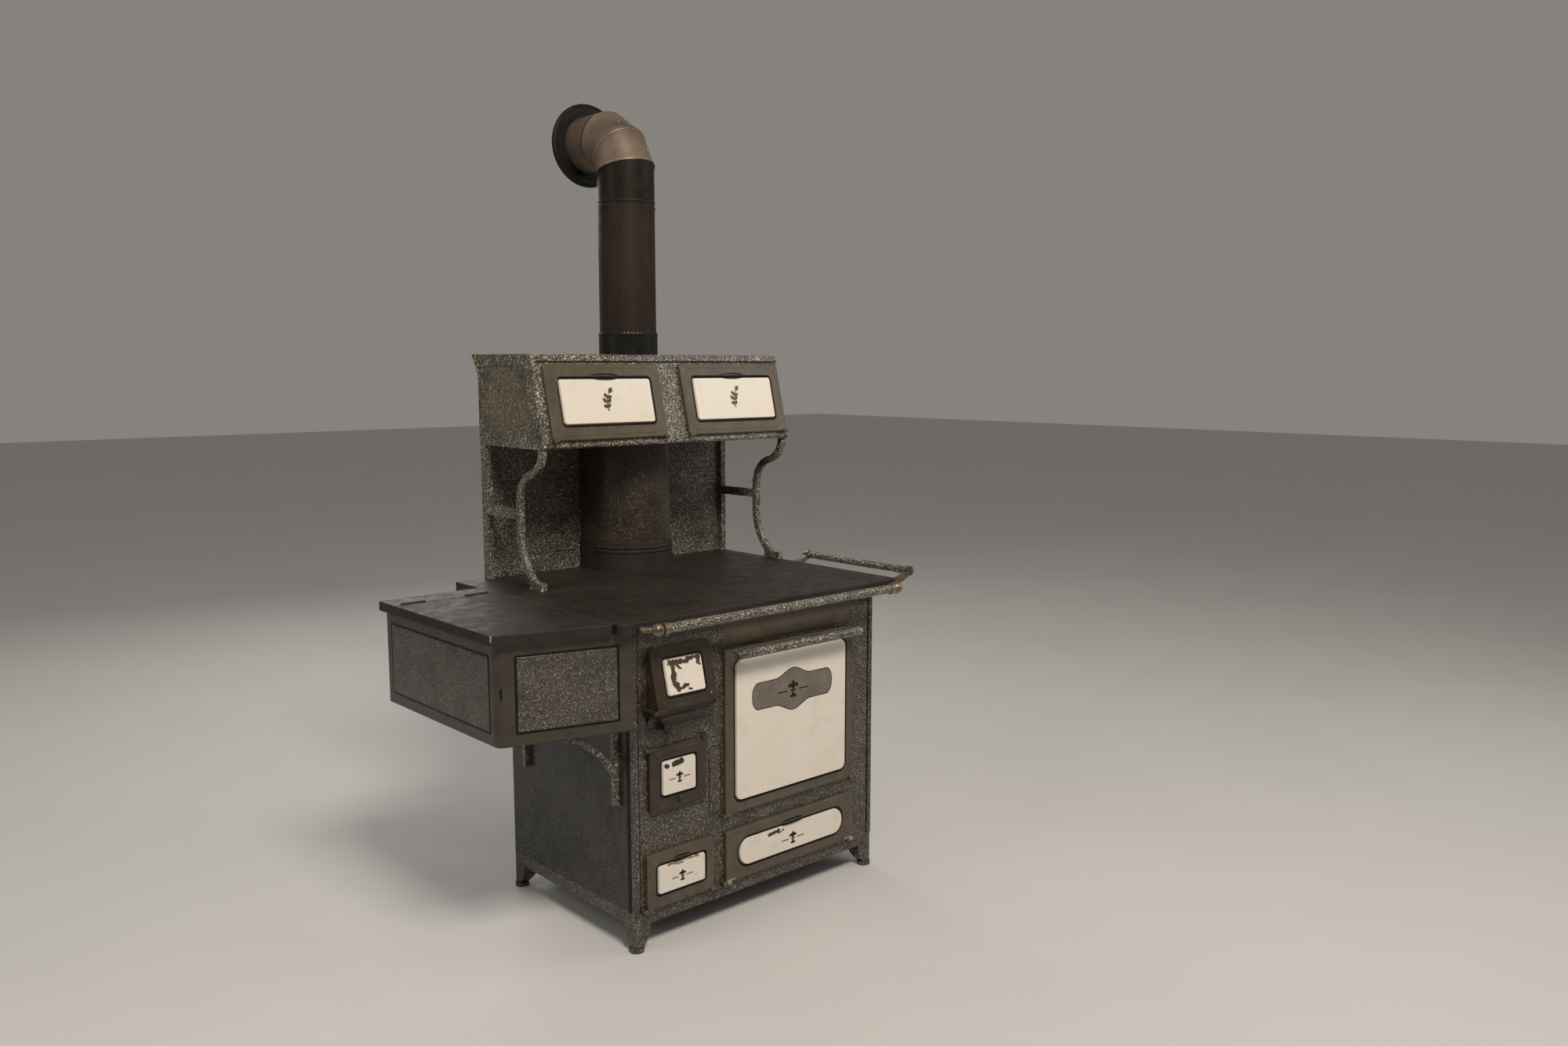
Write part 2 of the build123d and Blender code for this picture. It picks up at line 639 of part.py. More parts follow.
# How far the arm's bends stand in front of the top's back edge, and how high above the top. It
# leaves the closet upright, bends back at its crown, and is upright again down to its waist.
crown_reach = 262
crown_rise = 313
waist_reach = 196
waist_rise = 150
head_reach = closet_base_depth - arm_width
arm_slope = (back_height - crown_rise) / (head_reach - crown_reach)
shoulder_rise = crown_rise - (crown_reach - waist_reach) * arm_slope
for label, x in (("bracket_left", closet_left), ("bracket_right", closet_right - bracket_thick)):
    middle = x + bracket_thick / 2
    head = (middle, y_back - head_reach, closet_bottom)
    crown = (middle, y_back - crown_reach, top_height + crown_rise)
    shoulder = (middle, y_back - waist_reach, top_height + shoulder_rise)
    waist = (middle, y_back - waist_reach, top_height + waist_rise)
    toe = (middle, y_back - bracket_foot + foot_length / 2, top_height + foot_thick / 2)
    with BuildPart() as bracket:
        with BuildLine() as arm:
            upper = TangentArc(head, crown, tangent=(0, 0, -1))
            TangentArc(crown, shoulder, tangent=upper % 1)
            Line(shoulder, waist)
            TangentArc(waist, toe, tangent=(0, 0, -1))
        with BuildSketch(Plane(origin=head, x_dir=(1, 0, 0), z_dir=(0, 0, -1))):
            RectangleRounded(bracket_thick, arm_width, arm_round)
        sweep(path=arm.line)
        with BuildSketch(Plane.YZ.offset(x)):
            with Locations((y_back - splash_gap, top_height)):
                Rectangle(post_depth, back_height, align=(Align.MAX, Align.MIN))
            with Locations((y_back - splash_gap, closet_bottom - strap_drop)):
                Rectangle(waist_reach - splash_gap, strap_width, align=(Align.MAX, Align.CENTER))
            with Locations((y_back - bracket_foot, top_height)):
                Rectangle(foot_length, foot_thick, align=(Align.MIN, Align.MIN))
        extrude(amount=bracket_thick)
        with Locations((middle, y_back, closet_bottom)):
            Box(cut, cut, cut, align=(Align.CENTER, Align.CENTER, Align.MIN), mode=Mode.SUBTRACT)
        with Locations((middle, y_back, top_height)):
            Box(cut, cut, cut, align=(Align.CENTER, Align.CENTER, Align.MAX), mode=Mode.SUBTRACT)
    save(bracket, label)

# Warming closet: a shell with a leaning front, two rooms, a divider and recessed side panels
with BuildPart() as closet:
    with BuildSketch(Plane.YZ.offset(closet_left)):
        with BuildLine():
            Polyline((y_back, closet_bottom), (closet_front, closet_bottom),
                     (closet_top_front, closet_top), (y_back, closet_top), close=True)
        make_face()
    extrude(amount=closet_width)
    leaning_edges = closet.faces().sort_by(Axis.Y)[0].edges()
    fillet(leaning_edges, closet_round)
    room_width = (closet_width - closet_divider) / 2 - closet_wall
    inset = closet_wall / cos(radians(closet_lean))
    for room_left in (closet_left + closet_wall, closet_x + closet_divider / 2):
        with BuildSketch(Plane.YZ.offset(room_left)):
            with BuildLine():
                Polyline((y_back - closet_wall, closet_bottom + closet_wall),
                         (closet_front + inset + closet_wall * closet_slope, closet_bottom + closet_wall),
                         (closet_top_front + inset - closet_wall * closet_slope, closet_top - closet_wall),
                         (y_back - closet_wall, closet_top - closet_wall), close=True)
            make_face()
        extrude(amount=room_width, mode=Mode.SUBTRACT)
    for door in ("closet_left", "closet_right"):
        x, y, z, lean, width, height, edge, beside, above, panel_r, notch = doors[door]
        with BuildSketch(leaning(y, z, lean).offset(seat_gap)):
            with Locations((x, height / 2)):
                RectangleRounded(width - 2 * door_lap, height - 2 * door_lap, door_corner)
        extrude(amount=-4 * closet_wall, mode=Mode.SUBTRACT)
    for x, inward in ((closet_left, 1), (closet_right, -1)):
        with BuildSketch(Plane.YZ.offset(x)):
            with BuildLine():
                Polyline((y_back - side_border, closet_bottom + side_border),
                         (closet_front + side_border_front, closet_bottom + side_border),
                         (closet_top_front + side_border, closet_top - side_border),
                         (y_back - side_border, closet_top - side_border), close=True)
            make_face()
            fillet(vertices().group_by(Axis.Y)[0:2], side_border / 2)
        extrude(amount=inward * side_panel_depth, mode=Mode.SUBTRACT)
        with BuildSketch(Plane.YZ.offset(x)):
            with BuildLine():
                Polyline((y_back - side_seam_bottom, closet_bottom),
                         (y_back - side_seam_bottom - groove, closet_bottom),
                         (y_back - side_seam_top - groove, closet_top),
                         (y_back - side_seam_top, closet_top), close=True)
            make_face()
        extrude(amount=inward * (side_panel_depth + groove / 2), mode=Mode.SUBTRACT)
    band_bottom = closet_sill / cos(radians(closet_lean)) + closet_door_height + shut_gap
    band_top = closet_height / cos(radians(closet_lean))
    with BuildSketch(leaning(closet_front, closet_bottom, closet_lean)):
        with Locations((closet_x, (band_bottom + band_top) / 2)):
            Rectangle(closet_width - 2 * closet_round, band_top - band_bottom)
    extrude(amount=closet_band, taper=30)
    with Locations((closet_x, closet_front, closet_top)):
        Box(cut, cut, cut, align=(Align.CENTER, Align.CENTER, Align.MIN), mode=Mode.SUBTRACT)
    for x, outward in ((closet_left, -1), (closet_right, 1)):
        with BuildSketch(Plane.XZ.offset(-y_back)):
            with BuildLine():
                Polyline((x, closet_top), (x + outward * flare, closet_top), (x, closet_top - 3 * flare),
                         close=True)
            make_face()
        extrude(amount=flare / 2)
    with Locations((closet_x, pipe_y, (closet_bottom + closet_top) / 2)):
        Cylinder(duct_radius + duct_wall, closet_height)
        Cylinder(duct_radius, closet_height, mode=Mode.SUBTRACT)
save(closet, "closet")

# Stovepipe: collar on the closet, straight pipe, jointed elbow, and the run into the wall
pipe_start = closet_top + collar_height
pipe_top = pipe_start + pipe_joint
flue_axis_height = pipe_top + elbow_foot + bend_radius
with BuildPart() as pipe_collar:
    with Locations((closet_x, pipe_y, closet_top)):
        Cylinder(pipe_radius + collar_grow, collar_height, align=(Align.CENTER, Align.CENTER, Align.MIN))
        Cylinder(pipe_radius - pipe_wall, collar_height, align=(Align.CENTER, Align.CENTER, Align.MIN),
                 mode=Mode.SUBTRACT)
save(pipe_collar, "pipe_collar")

with BuildPart() as stovepipe:
    with Locations((closet_x, pipe_y, pipe_start)):
        Cylinder(pipe_radius, pipe_joint, align=(Align.CENTER, Align.CENTER, Align.MIN))
        Cylinder(pipe_radius - pipe_wall, pipe_joint, align=(Align.CENTER, Align.CENTER, Align.MIN),
                 mode=Mode.SUBTRACT)
save(stovepipe, "stovepipe")

bend_y = pipe_y + bend_radius
bend_z = flue_axis_height - bend_radius
gore = 15
reach = bend_radius / cos(radians(gore))
bends = [(bend_y - reach * cos(radians(angle)), bend_z + reach * sin(radians(angle)), angle)
         for angle in (gore, 3 * gore, 5 * gore)]
elbow_end = bend_y + elbow_arm
with BuildPart() as elbow:
    with BuildLine() as elbow_path:
        Polyline((closet_x, pipe_y, pipe_top), *[(closet_x, y, z) for y, z, angle in bends],
                 (closet_x, elbow_end, flue_axis_height))
    with BuildSketch(Plane.XY.offset(pipe_top)):
        with Locations((closet_x, pipe_y)):
            Circle(pipe_radius)
            Circle(pipe_radius - pipe_wall, mode=Mode.SUBTRACT)
    sweep(path=elbow_path.line, transition=Transition.RIGHT)
    for y, z, angle in bends:
        along = (0, sin(radians(angle)), cos(radians(angle)))
        with BuildSketch(Plane(origin=(closet_x, y, z), z_dir=along)):
            Circle(pipe_radius + bead)
            Circle(pipe_radius - pipe_wall / 2, mode=Mode.SUBTRACT)
        extrude(amount=bead_width / 2, both=True)
save(elbow, "elbow")

with BuildPart() as wall_pipe:
    with BuildSketch(Plane.XZ.offset(-elbow_end)):
        with Locations((closet_x, flue_axis_height)):
            Circle(pipe_radius)
            Circle(pipe_radius - crimp - pipe_wall, mode=Mode.SUBTRACT)
    extrude(amount=-(y_wall - elbow_end))
    with BuildSketch(Plane.XZ.offset(-y_wall)):
        with Locations((closet_x, flue_axis_height)):
            Circle(pipe_radius - crimp)
            Circle(pipe_radius - crimp - pipe_wall, mode=Mode.SUBTRACT)
    extrude(amount=-stub_reach)
save(wall_pipe, "wall_pipe")

with BuildPart() as wall_collar:
    with BuildSketch(Plane.XZ.offset(-(y_wall - wall_collar_thick))):
        with Locations((closet_x, flue_axis_height)):
            Circle(wall_collar_radius)
            Circle(pipe_radius, mode=Mode.SUBTRACT)
    extrude(amount=-wall_collar_thick)
    fillet(wall_collar.edges().group_by(Axis.Y)[0].sort_by(SortBy.RADIUS)[-1], wall_collar_thick / 2)
save(wall_collar, "wall_collar")

# Front rail, and a cast holder at each end: a ring, a bulb and a neck that curls up to the top
rail_y = y_front - rail_reach + bulb_radius
rail_z = top_height - rail_drop
rail_left = body_left + rail_left_inset
rail_right = body_right - rail_right_inset
with BuildPart() as front_rail:
    with Locations(((rail_left + rail_right) / 2, rail_y, rail_z)):
        Cylinder(rail_radius, rail_right - rail_left, rotation=(0, 90, 0))
save(front_rail, "front_rail")

with BuildPart() as rail_holders:
    for end, outward in ((rail_left, -1), (rail_right, 1)):
        with Locations((end + outward * ring_length / 2, rail_y, rail_z)):
            Cylinder(rail_radius + ring_grow, ring_length, rotation=(0, 90, 0))
        bulb_x = end + outward * (ring_length + bulb_radius - bulb_sink)
        with Locations((bulb_x, rail_y, rail_z)):
            Sphere(bulb_radius)
        neck_x = bulb_x + outward * (bulb_radius + neck_radius)
        neck_mid = (rail_y + y_front) / 2
        with BuildLine() as neck:
            ThreePointArc((bulb_x, rail_y, rail_z),
                          (neck_x - outward * neck_radius, neck_mid - neck_radius, rail_z),
                          (neck_x, y_front, rail_z))
        with BuildSketch(Plane(origin=neck.line @ 0, z_dir=neck.line % 0)):
            Circle(neck_radius)
        sweep(path=neck.line)
    with Locations((body_x, y_front, rail_z)):
        Box(cut, cut, cut, align=(Align.CENTER, Align.MIN, Align.CENTER), mode=Mode.SUBTRACT)
save(rail_holders, "rail_holders")

# Towel bar at the right end: its holders stand on the top's edge and turn out to the bar
bar_x = x_right + bar_reach - bar_radius - ring_grow
bar_z = top_height + bar_rise
bar_y = y_front + bar_front_inset + bar_length / 2
holder = 16
with BuildPart() as towel_bar:
    with Locations((bar_x, bar_y, bar_z)):
        Cylinder(bar_radius, bar_length, rotation=(90, 0, 0))
save(towel_bar, "towel_bar")

with BuildPart() as bar_holders:
    for side in (-1, 1):
        holder_y = bar_y + side * (bar_length + holder) / 2
        with Locations((bar_x, holder_y, bar_z)):
            Cylinder(bar_radius + ring_grow, holder, rotation=(90, 0, 0))
        with BuildSketch(Plane.XZ.offset(-holder_y)):
            with BuildLine() as crook:
                RadiusArc((x_right, top_height - top_rim / 2), (bar_x, bar_z), -bar_reach)
            trace(crook.line, holder)
            with Locations((x_right, top_height - top_rim / 2)):
                Rectangle(cut, cut, align=(Align.MAX, Align.CENTER), mode=Mode.SUBTRACT)
        extrude(amount=holder / 2, both=True)
save(bar_holders, "bar_holders")

# Water reservoir: tapered tank on the body's left side, open at the top
tank_left = x_left - lid_reach + lid_overhang
tank_back = y_back - reservoir_back
tank_top = top_height - top_rim
reservoir_bottom = tank_top - reservoir_height
tank_front_right = tank_back - reservoir_depth
tank_slope = tan(radians(reservoir_slant))
tank_front_left = tank_front_right + (body_left - tank_left) * tank_slope
with BuildPart() as reservoir:
    with BuildSketch(Plane.XY.offset(reservoir_bottom)):
        with BuildLine():
            Polyline((tank_left, tank_back), (body_left, tank_back), (body_left, tank_front_right),
                     (tank_left, tank_front_left), close=True)
        make_face()
    extrude(amount=reservoir_height)
    upright = reservoir.edges().filter_by(Axis.Z)
    left_corner = upright.sort_by_distance((tank_left, tank_front_left, tank_top))[0]
    fillet(left_corner, reservoir_corner)
    offset(amount=-reservoir_wall, openings=reservoir.faces().sort_by(Axis.Z)[-1])
    fillet(reservoir.faces().sort_by(Axis.Z)[0].outer_wire().edges().filter_by(Axis.Z, reverse=True),
           reservoir_round)
save(reservoir, "reservoir")

strip_front = tank_back - fixed_strip
lid_left = tank_left - lid_overhang
lid_right = x_left - lid_gap
lid_front_right = tank_front_right - lid_overhang - (x_left - body_left) * tank_slope
lid_front_left = lid_front_right + (lid_right - lid_left) * tank_slope
lid_z = top_height - lid_thick
pintle_spread = 90
pintle_length = 22
pintle_x = ((lid_left + lid_right) / 2 - pintle_spread, (lid_left + lid_right) / 2 + pintle_spread)
with BuildPart() as reservoir_strip:
    with Locations(((lid_left + lid_right) / 2, tank_back, top_height)):
        Box(lid_right - lid_left, fixed_strip, lid_thick, align=(Align.CENTER, Align.MAX, Align.MAX))
    with Locations((tank_left + reservoir_corner, tank_back, tank_top)):
        Box(lid_right - tank_left - reservoir_corner, reservoir_wall, lid_z - tank_top,
            align=(Align.MIN, Align.MAX, Align.MIN))
    for x in pintle_x:
        with Locations((x, strip_front - lid_gap, top_height)):
            Box(3 * pintle_length, 4 * pintle_radius, 4 * pintle_radius, mode=Mode.SUBTRACT)
            for side in (-1, 1):
                with Locations((side * pintle_length, 0, 0)):
                    Cylinder(pintle_radius, pintle_length - hinge_gap, rotation=(0, 90, 0))
        with Locations((x - pintle_length, strip_front - lid_gap, top_height),
                       (x + pintle_length, strip_front - lid_gap, top_height)):
            Box(pintle_length - hinge_gap, 2 * pintle_radius + pintle_bite, pintle_radius,
                align=(Align.CENTER, Align.MIN, Align.MAX))
save(reservoir_strip, "reservoir_strip")

with BuildPart() as reservoir_lid:
    with BuildSketch(Plane.XY.offset(lid_z)):
        with BuildLine():
            Polyline((lid_left, strip_front - lid_gap), (lid_right, strip_front - lid_gap),
                     (lid_right, lid_front_right), (lid_left, lid_front_left), close=True)
        make_face()
    extrude(amount=lid_thick)
    fillet(reservoir_lid.edges().filter_by(Axis.Z).group_by(Axis.Y)[0], lid_corner)
    fillet(reservoir_lid.faces().sort_by(Axis.Z)[-1].edges().sort_by(Axis.Y)[0:3], top_edge)
    for x in pintle_x:
        for side in (-1, 1):
            with Locations((x + side * pintle_length, strip_front - lid_gap, top_height)):
                Box(pintle_length + hinge_gap, 4 * pintle_radius, 4 * pintle_radius, mode=Mode.SUBTRACT)
        with Locations((x, strip_front - lid_gap, top_height)):
            Cylinder(pintle_radius, pintle_length - hinge_gap, rotation=(0, 90, 0))
save(reservoir_lid, "reservoir_lid")

# Two curved brackets that carry the reservoir, each with a rib down the side sheet
carrier_thick = 14
carrier_bar = 14
carrier_reach = 150
carrier_drop = 130        # reservoir's bottom to the arm's foot
carrier_rib = 199
carrier_inset = 60        # front one, in from the body's front
carrier_back_inset = 90
carrier_curve = 230
carrier_top = reservoir_bottom - seat_gap / 2
with BuildPart() as reservoir_brackets:
    for y in (body_front + carrier_inset, body_back - carrier_back_inset):
        with BuildSketch(Plane.XZ.offset(-y)):
            with BuildLine() as carrier:
                RadiusArc((body_left - carrier_reach, carrier_top - carrier_bar / 2),
                          (body_left - carrier_bar / 2, carrier_top - carrier_drop), carrier_curve)
            trace(carrier.line, carrier_bar)
            with Locations((body_left, carrier_top)):
                Rectangle(carrier_bar, carrier_rib, align=(Align.MAX, Align.MAX))
            with Locations((body_left, carrier_top)):
                Rectangle(cut, cut, align=(Align.CENTER, Align.MIN), mode=Mode.SUBTRACT)
            with Locations((body_left, carrier_top)):
                Rectangle(cut, cut, align=(Align.MIN, Align.CENTER), mode=Mode.SUBTRACT)
        extrude(amount=-carrier_thick)
        with Locations((body_left - carrier_bar / 2, y + carrier_thick / 2, carrier_top - carrier_rib)):
            Cylinder(carrier_bar / 2, carrier_thick + 2 * bead, rotation=(90, 0, 0))
save(reservoir_brackets, "reservoir_brackets")

# Draft knob, on a stem in the front between the fire door and the draft door
knob_inset = 92           # from the body's left side
knob_rise = 46            # from the draft door
knob_radius = 13
knob_reach = 26
knob_stem = 6             # radius
knob_stem_reach = 13
knob_widest = 19          # out from the front, where it is widest
knob_face = 8             # radius of its flat end
knob_x = body_left + knob_inset
knob_z = draft_bottom + draft_height + knob_rise
with BuildPart() as draft_knob:
    with BuildSketch(Plane(origin=(knob_x, body_front, knob_z), x_dir=(1, 0, 0), z_dir=(0, 0, 1))):
        with BuildLine():
            Line((0, 0), (knob_stem, 0))
            Line((knob_stem, 0), (knob_stem, -knob_stem_reach))
            ThreePointArc((knob_stem, -knob_stem_reach), (knob_radius, -knob_widest),
                          (knob_face, -knob_reach))
            Line((knob_face, -knob_reach), (0, -knob_reach))
            Line((0, -knob_reach), (0, 0))
        make_face()
    revolve(axis=Axis((knob_x, body_front, knob_z), (0, 1, 0)))
save(draft_knob, "draft_knob")
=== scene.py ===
"""Looks of a wood and coal cooking range: enamel, porcelain and iron finishes on its CAD parts,
with the lining, ornament and small trim that the parts carry. Metres, in the parts' own frame."""
import json
import math
from collections import namedtuple

import bmesh
import bpy
from mathutils import Matrix, Vector


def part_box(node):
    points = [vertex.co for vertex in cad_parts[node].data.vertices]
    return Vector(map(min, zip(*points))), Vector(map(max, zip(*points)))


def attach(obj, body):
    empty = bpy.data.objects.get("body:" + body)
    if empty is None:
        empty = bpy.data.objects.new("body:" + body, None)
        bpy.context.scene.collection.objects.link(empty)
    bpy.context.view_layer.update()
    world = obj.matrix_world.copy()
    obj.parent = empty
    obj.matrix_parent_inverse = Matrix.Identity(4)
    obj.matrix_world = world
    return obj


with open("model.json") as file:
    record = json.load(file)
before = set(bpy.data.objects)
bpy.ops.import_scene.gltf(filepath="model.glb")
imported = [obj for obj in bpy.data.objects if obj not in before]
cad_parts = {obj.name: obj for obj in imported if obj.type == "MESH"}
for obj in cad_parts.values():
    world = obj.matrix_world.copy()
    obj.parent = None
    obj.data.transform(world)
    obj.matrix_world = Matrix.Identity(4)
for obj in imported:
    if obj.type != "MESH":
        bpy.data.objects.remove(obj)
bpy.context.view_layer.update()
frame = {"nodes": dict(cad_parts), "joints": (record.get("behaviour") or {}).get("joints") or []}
nodes = frame["nodes"]
hinges = {joint["name"]: Vector(joint["pos_m"]) for joint in frame["joints"] if "pos_m" in joint}
MM = 0.001
ROOT = "range"
INTO, OUT, UP = (0, 1, 0), (0, -1, 0), (0, 0, 1)      # directions: to the wall, to the cook, up


# Shader helpers

class Shader:
    """One material's node tree, with short calls for the nodes that it uses."""

    def __init__(self, name, **constants):
        self.material = bpy.data.materials.new(name)
        self.material.use_nodes = True
        self.tree = self.material.node_tree
        self.surface = self.tree.nodes["Principled BSDF"]
        self.position = self.add("ShaderNodeTexCoord").outputs["Object"]
        for socket, value in constants.items():
            self.surface.inputs[socket.replace("_", " ")].default_value = value

    def add(self, kind, **settings):
        node = self.tree.nodes.new(kind)
        for key, value in settings.items():
            setattr(node, key, value)
        return node

    def put(self, socket, value):
        """Link or set one input."""
        if isinstance(value, bpy.types.NodeSocket):
            self.tree.links.new(value, socket)
        elif isinstance(value, tuple) and len(value) == 3 and len(socket.default_value) == 4:
            socket.default_value = (*value, 1)
        else:
            socket.default_value = value

    def set(self, socket, value):
        self.put(self.surface.inputs[socket], value)

    def stretch(self, x, y, z, source):
        node = self.add("ShaderNodeMapping")
        node.inputs["Scale"].default_value = (x, y, z)
        self.put(node.inputs["Vector"], source)
        return node.outputs["Vector"]

    def noise(self, scale, detail=2.0, rough=0.5, warp=0.0, source=None):
        node = self.add("ShaderNodeTexNoise")
        self.put(node.inputs["Vector"], source or self.position)
        node.inputs["Scale"].default_value = scale
        node.inputs["Detail"].default_value = detail
        node.inputs["Roughness"].default_value = rough
        node.inputs["Distortion"].default_value = warp
        return node.outputs["Fac"]

    def cracks(self, scale):
        """Distance from the nearest border between cells."""
        node = self.add("ShaderNodeTexVoronoi", feature="DISTANCE_TO_EDGE")
        self.put(node.inputs["Vector"], self.position)
        node.inputs["Scale"].default_value = scale
        return node.outputs["Distance"]

    def ramp(self, value, *stops):
        """Stops are (place, number or colour)."""
        node = self.add("ShaderNodeValToRGB")
        band = node.color_ramp.elements
        while len(band) < len(stops):
            band.new(0.5)
        for slot, (place, colour) in zip(band, stops):
            slot.position = place
            slot.color = (*colour, 1) if isinstance(colour, tuple) else (colour, colour, colour, 1)
        self.put(node.inputs["Fac"], value)
        return node.outputs["Color"]

    def mix(self, share, first, second, blend="MIX"):
        node = self.add("ShaderNodeMix", data_type="RGBA", blend_type=blend)
        self.put(node.inputs["Factor"], share)
        self.put(node.inputs[6], first)
        self.put(node.inputs[7], second)
        return node.outputs[2]

    def math(self, operation, first, second=0.0, clamp=False):
        node = self.add("ShaderNodeMath", operation=operation, use_clamp=clamp)
        self.put(node.inputs[0], first)
        self.put(node.inputs[1], second)
        return node.outputs["Value"]

    def vector(self, operation, first, second, output="Vector"):
        node = self.add("ShaderNodeVectorMath", operation=operation)
        self.put(node.inputs[0], first)
        self.put(node.inputs[1], second)
        return node.outputs[output]

    def scaled(self, vector, factor):
        node = self.add("ShaderNodeVectorMath", operation="SCALE")
        self.put(node.inputs[0], vector)
        self.put(node.inputs["Scale"], factor)
        return node.outputs["Vector"]

    def bump(self, height, distance, strength=1.0, under=None):
        node = self.add("ShaderNodeBump")
        node.inputs["Strength"].default_value = strength
        node.inputs["Distance"].default_value = distance
        self.put(node.inputs["Height"], height)
        if under:
            self.put(node.inputs["Normal"], under)
        return node.outputs["Normal"]

    def softened(self, radius=0.0012):
        """The surface's direction with its sharp edges rounded off."""
        node = self.add("ShaderNodeBevel", samples=4)
        node.inputs["Radius"].default_value = radius
        return node.outputs["Normal"]

    def edges(self, radius=0.003):
        """1 along edges and 0 elsewhere, for wear."""
        flat = self.add("ShaderNodeNewGeometry").outputs["Normal"]
        turn = self.vector("DOT_PRODUCT", self.softened(radius), flat, "Value")
        return self.ramp(turn, (0.86, 1.0), (0.985, 0.0))

    def away(self, place):
        """Distance from a place."""
        return self.vector("DISTANCE", self.position, place, "Value")

    def reach(self, start, end):
        """Distance from a line between two places."""
        run = Vector(end) - Vector(start)
        if run.length < 1e-6:
            return self.away(start)
        offset = self.vector("SUBTRACT", self.position, start)
        share = self.vector("DOT_PRODUCT", offset, run / run.length_squared, "Value")
        share = self.math("MAXIMUM", self.math("MINIMUM", share, 1.0), 0.0)
        return self.vector("DISTANCE", offset, self.scaled(run, share), "Value")

    def spotted(self, ground, spots):
        """Ground with ragged patches of other colours. Each spot is (start, end, radius, colour)."""
        for start, end, radius, shade in spots:
            rough = self.math("MULTIPLY", self.noise(260, 4, 0.6), radius)
            level = self.math("DIVIDE", self.math("ADD", self.reach(start, end), rough), radius * 2)
            ground = self.mix(self.ramp(level, (0.68, 1.0), (0.76, 0.0)), ground, shade)
        return ground

    def axis(self, letter):
        node = self.add("ShaderNodeSeparateXYZ")
        self.put(node.inputs["Vector"], self.position)
        return node.outputs[letter]


def speckled(name, base, tint, flecks, size=1.0, gloss=0.22, cover=0.5, soot=None, calm=None):
    """Vitreous enamel: a dark ground with short pale flecks, under a clear glossy coat.

    size scales the flecks, and more of the ground is covered as cover grows. soot is a (place,
    radius) that the fire has browned. calm lists (start, end) spans across the range in which the
    ground is lighter and the flecks are fewer.
    """
    s = Shader(name, Coat_Weight=0.18, Coat_Roughness=0.14, Specular_IOR_Level=0.3)
    ground = s.mix(s.noise(3.5, 4, 0.6), base, tint)
    swirl = s.add("ShaderNodeTexNoise")
    s.put(swirl.inputs["Vector"], s.position)
    swirl.inputs["Scale"].default_value = 75 / size
    warp = s.vector("ADD", s.position, s.scaled(swirl.outputs["Color"], 0.012 * size))
    one = s.noise(440 / size, 1.0, 0.4, 0.2, s.stretch(1, 0.85, 0.65, warp))
    two = s.noise(480 / size, 1.0, 0.4, 0.2, s.stretch(0.65, 0.85, 1, warp))
    uneven = s.math("MULTIPLY", s.noise(7.0, 3, 0.5), 0.06)
    height = s.math("ADD", s.math("MAXIMUM", one, two), uneven)
    if calm:
        x = s.axis("X")
        inside = None
        for start, end in calm:
            span = s.math("MULTIPLY", s.math("GREATER_THAN", x, start), s.math("LESS_THAN", x, end))
            inside = s.math("MAXIMUM", inside, span) if inside else span
        height = s.math("SUBTRACT", height, s.math("MULTIPLY", inside, 0.035))
        ground = s.mix(inside, ground, tuple(2.7 * c for c in base))
    edge = 0.735 - 0.16 * cover
    flake = s.ramp(height, (edge, 0.0), (edge + 0.025, 1.0))
    shade = s.ramp(s.noise(170 / size, 1, 0.5), (0.40, tuple(0.25 * c for c in flecks)), (0.60, flecks))
    colour = s.mix(flake, ground, shade)
    dust = s.ramp(s.noise(900 / size, 2, 0.6), (0.60, 0.0), (0.70, 0.3))
    colour = s.mix(dust, colour, tuple(0.5 * c for c in flecks))
    grime = s.ramp(s.noise(13, 5, 0.65), (0.48, 0.0), (0.70, 0.6))
    colour = s.mix(grime, colour, tuple(0.5 * c for c in base))
    if soot:
        place, radius = soot
        ragged = s.math("MULTIPLY", s.noise(24, 5, 0.7), 0.7)
        reach = s.math("ADD", s.math("DIVIDE", s.away(place), radius), ragged)
        colour = s.mix(s.ramp(reach, (0.75, 0.75), (1.0, 0.0)), colour, (0.022, 0.012, 0.007))
    worn = s.math("MULTIPLY", s.edges(), s.ramp(s.noise(60, 5, 0.7), (0.45, 0.0), (0.60, 1.0)))
    colour = s.mix(s.math("MULTIPLY", worn, 0.6), colour, (0.055, 0.032, 0.018))
    s.set("Base Color", colour)
    s.set("Roughness", s.ramp(s.noise(11, 5, 0.6), (0.3, gloss), (0.7, gloss + 0.2)))
    orange_peel = s.bump(s.noise(120, 2, 0.5), 0.0004, 0.4, s.softened())
    s.set("Normal", s.bump(flake, 0.00008, 0.3, orange_peel))
    return s


def plain_enamel(name, colour, deeper, gloss=0.3, shine=0.3, spots=()):
    """Satin enamel with faint mottling, fine scratches and edge wear.

    Spots are (start, end, radius, colour).
    """
    s = Shader(name, Coat_Weight=shine * 0.9, Coat_Roughness=0.12, Specular_IOR_Level=shine)
    ground = s.mix(s.ramp(s.noise(14, 5, 0.65), (0.35, 0.0), (0.7, 1.0)), colour, deeper)
    grime = s.ramp(s.noise(45, 6, 0.7), (0.52, 0.0), (0.72, 0.45))
    ground = s.mix(grime, ground, tuple(0.45 * c for c in deeper))
    worn = s.math("MULTIPLY", s.edges(), s.ramp(s.noise(85, 5, 0.7), (0.42, 0.0), (0.6, 1.0)))
    ground = s.mix(s.math("MULTIPLY", worn, 0.5), ground, (0.16, 0.14, 0.10))
    ground = s.spotted(ground, spots)
    s.set("Base Color", ground)
    s.set("Roughness", s.ramp(s.noise(30, 5, 0.65), (0.3, gloss), (0.75, gloss + 0.22)))
    s.set("Normal", s.bump(s.noise(150, 3, 0.55), 0.0003, 0.4, s.softened(0.0018)))
    return s


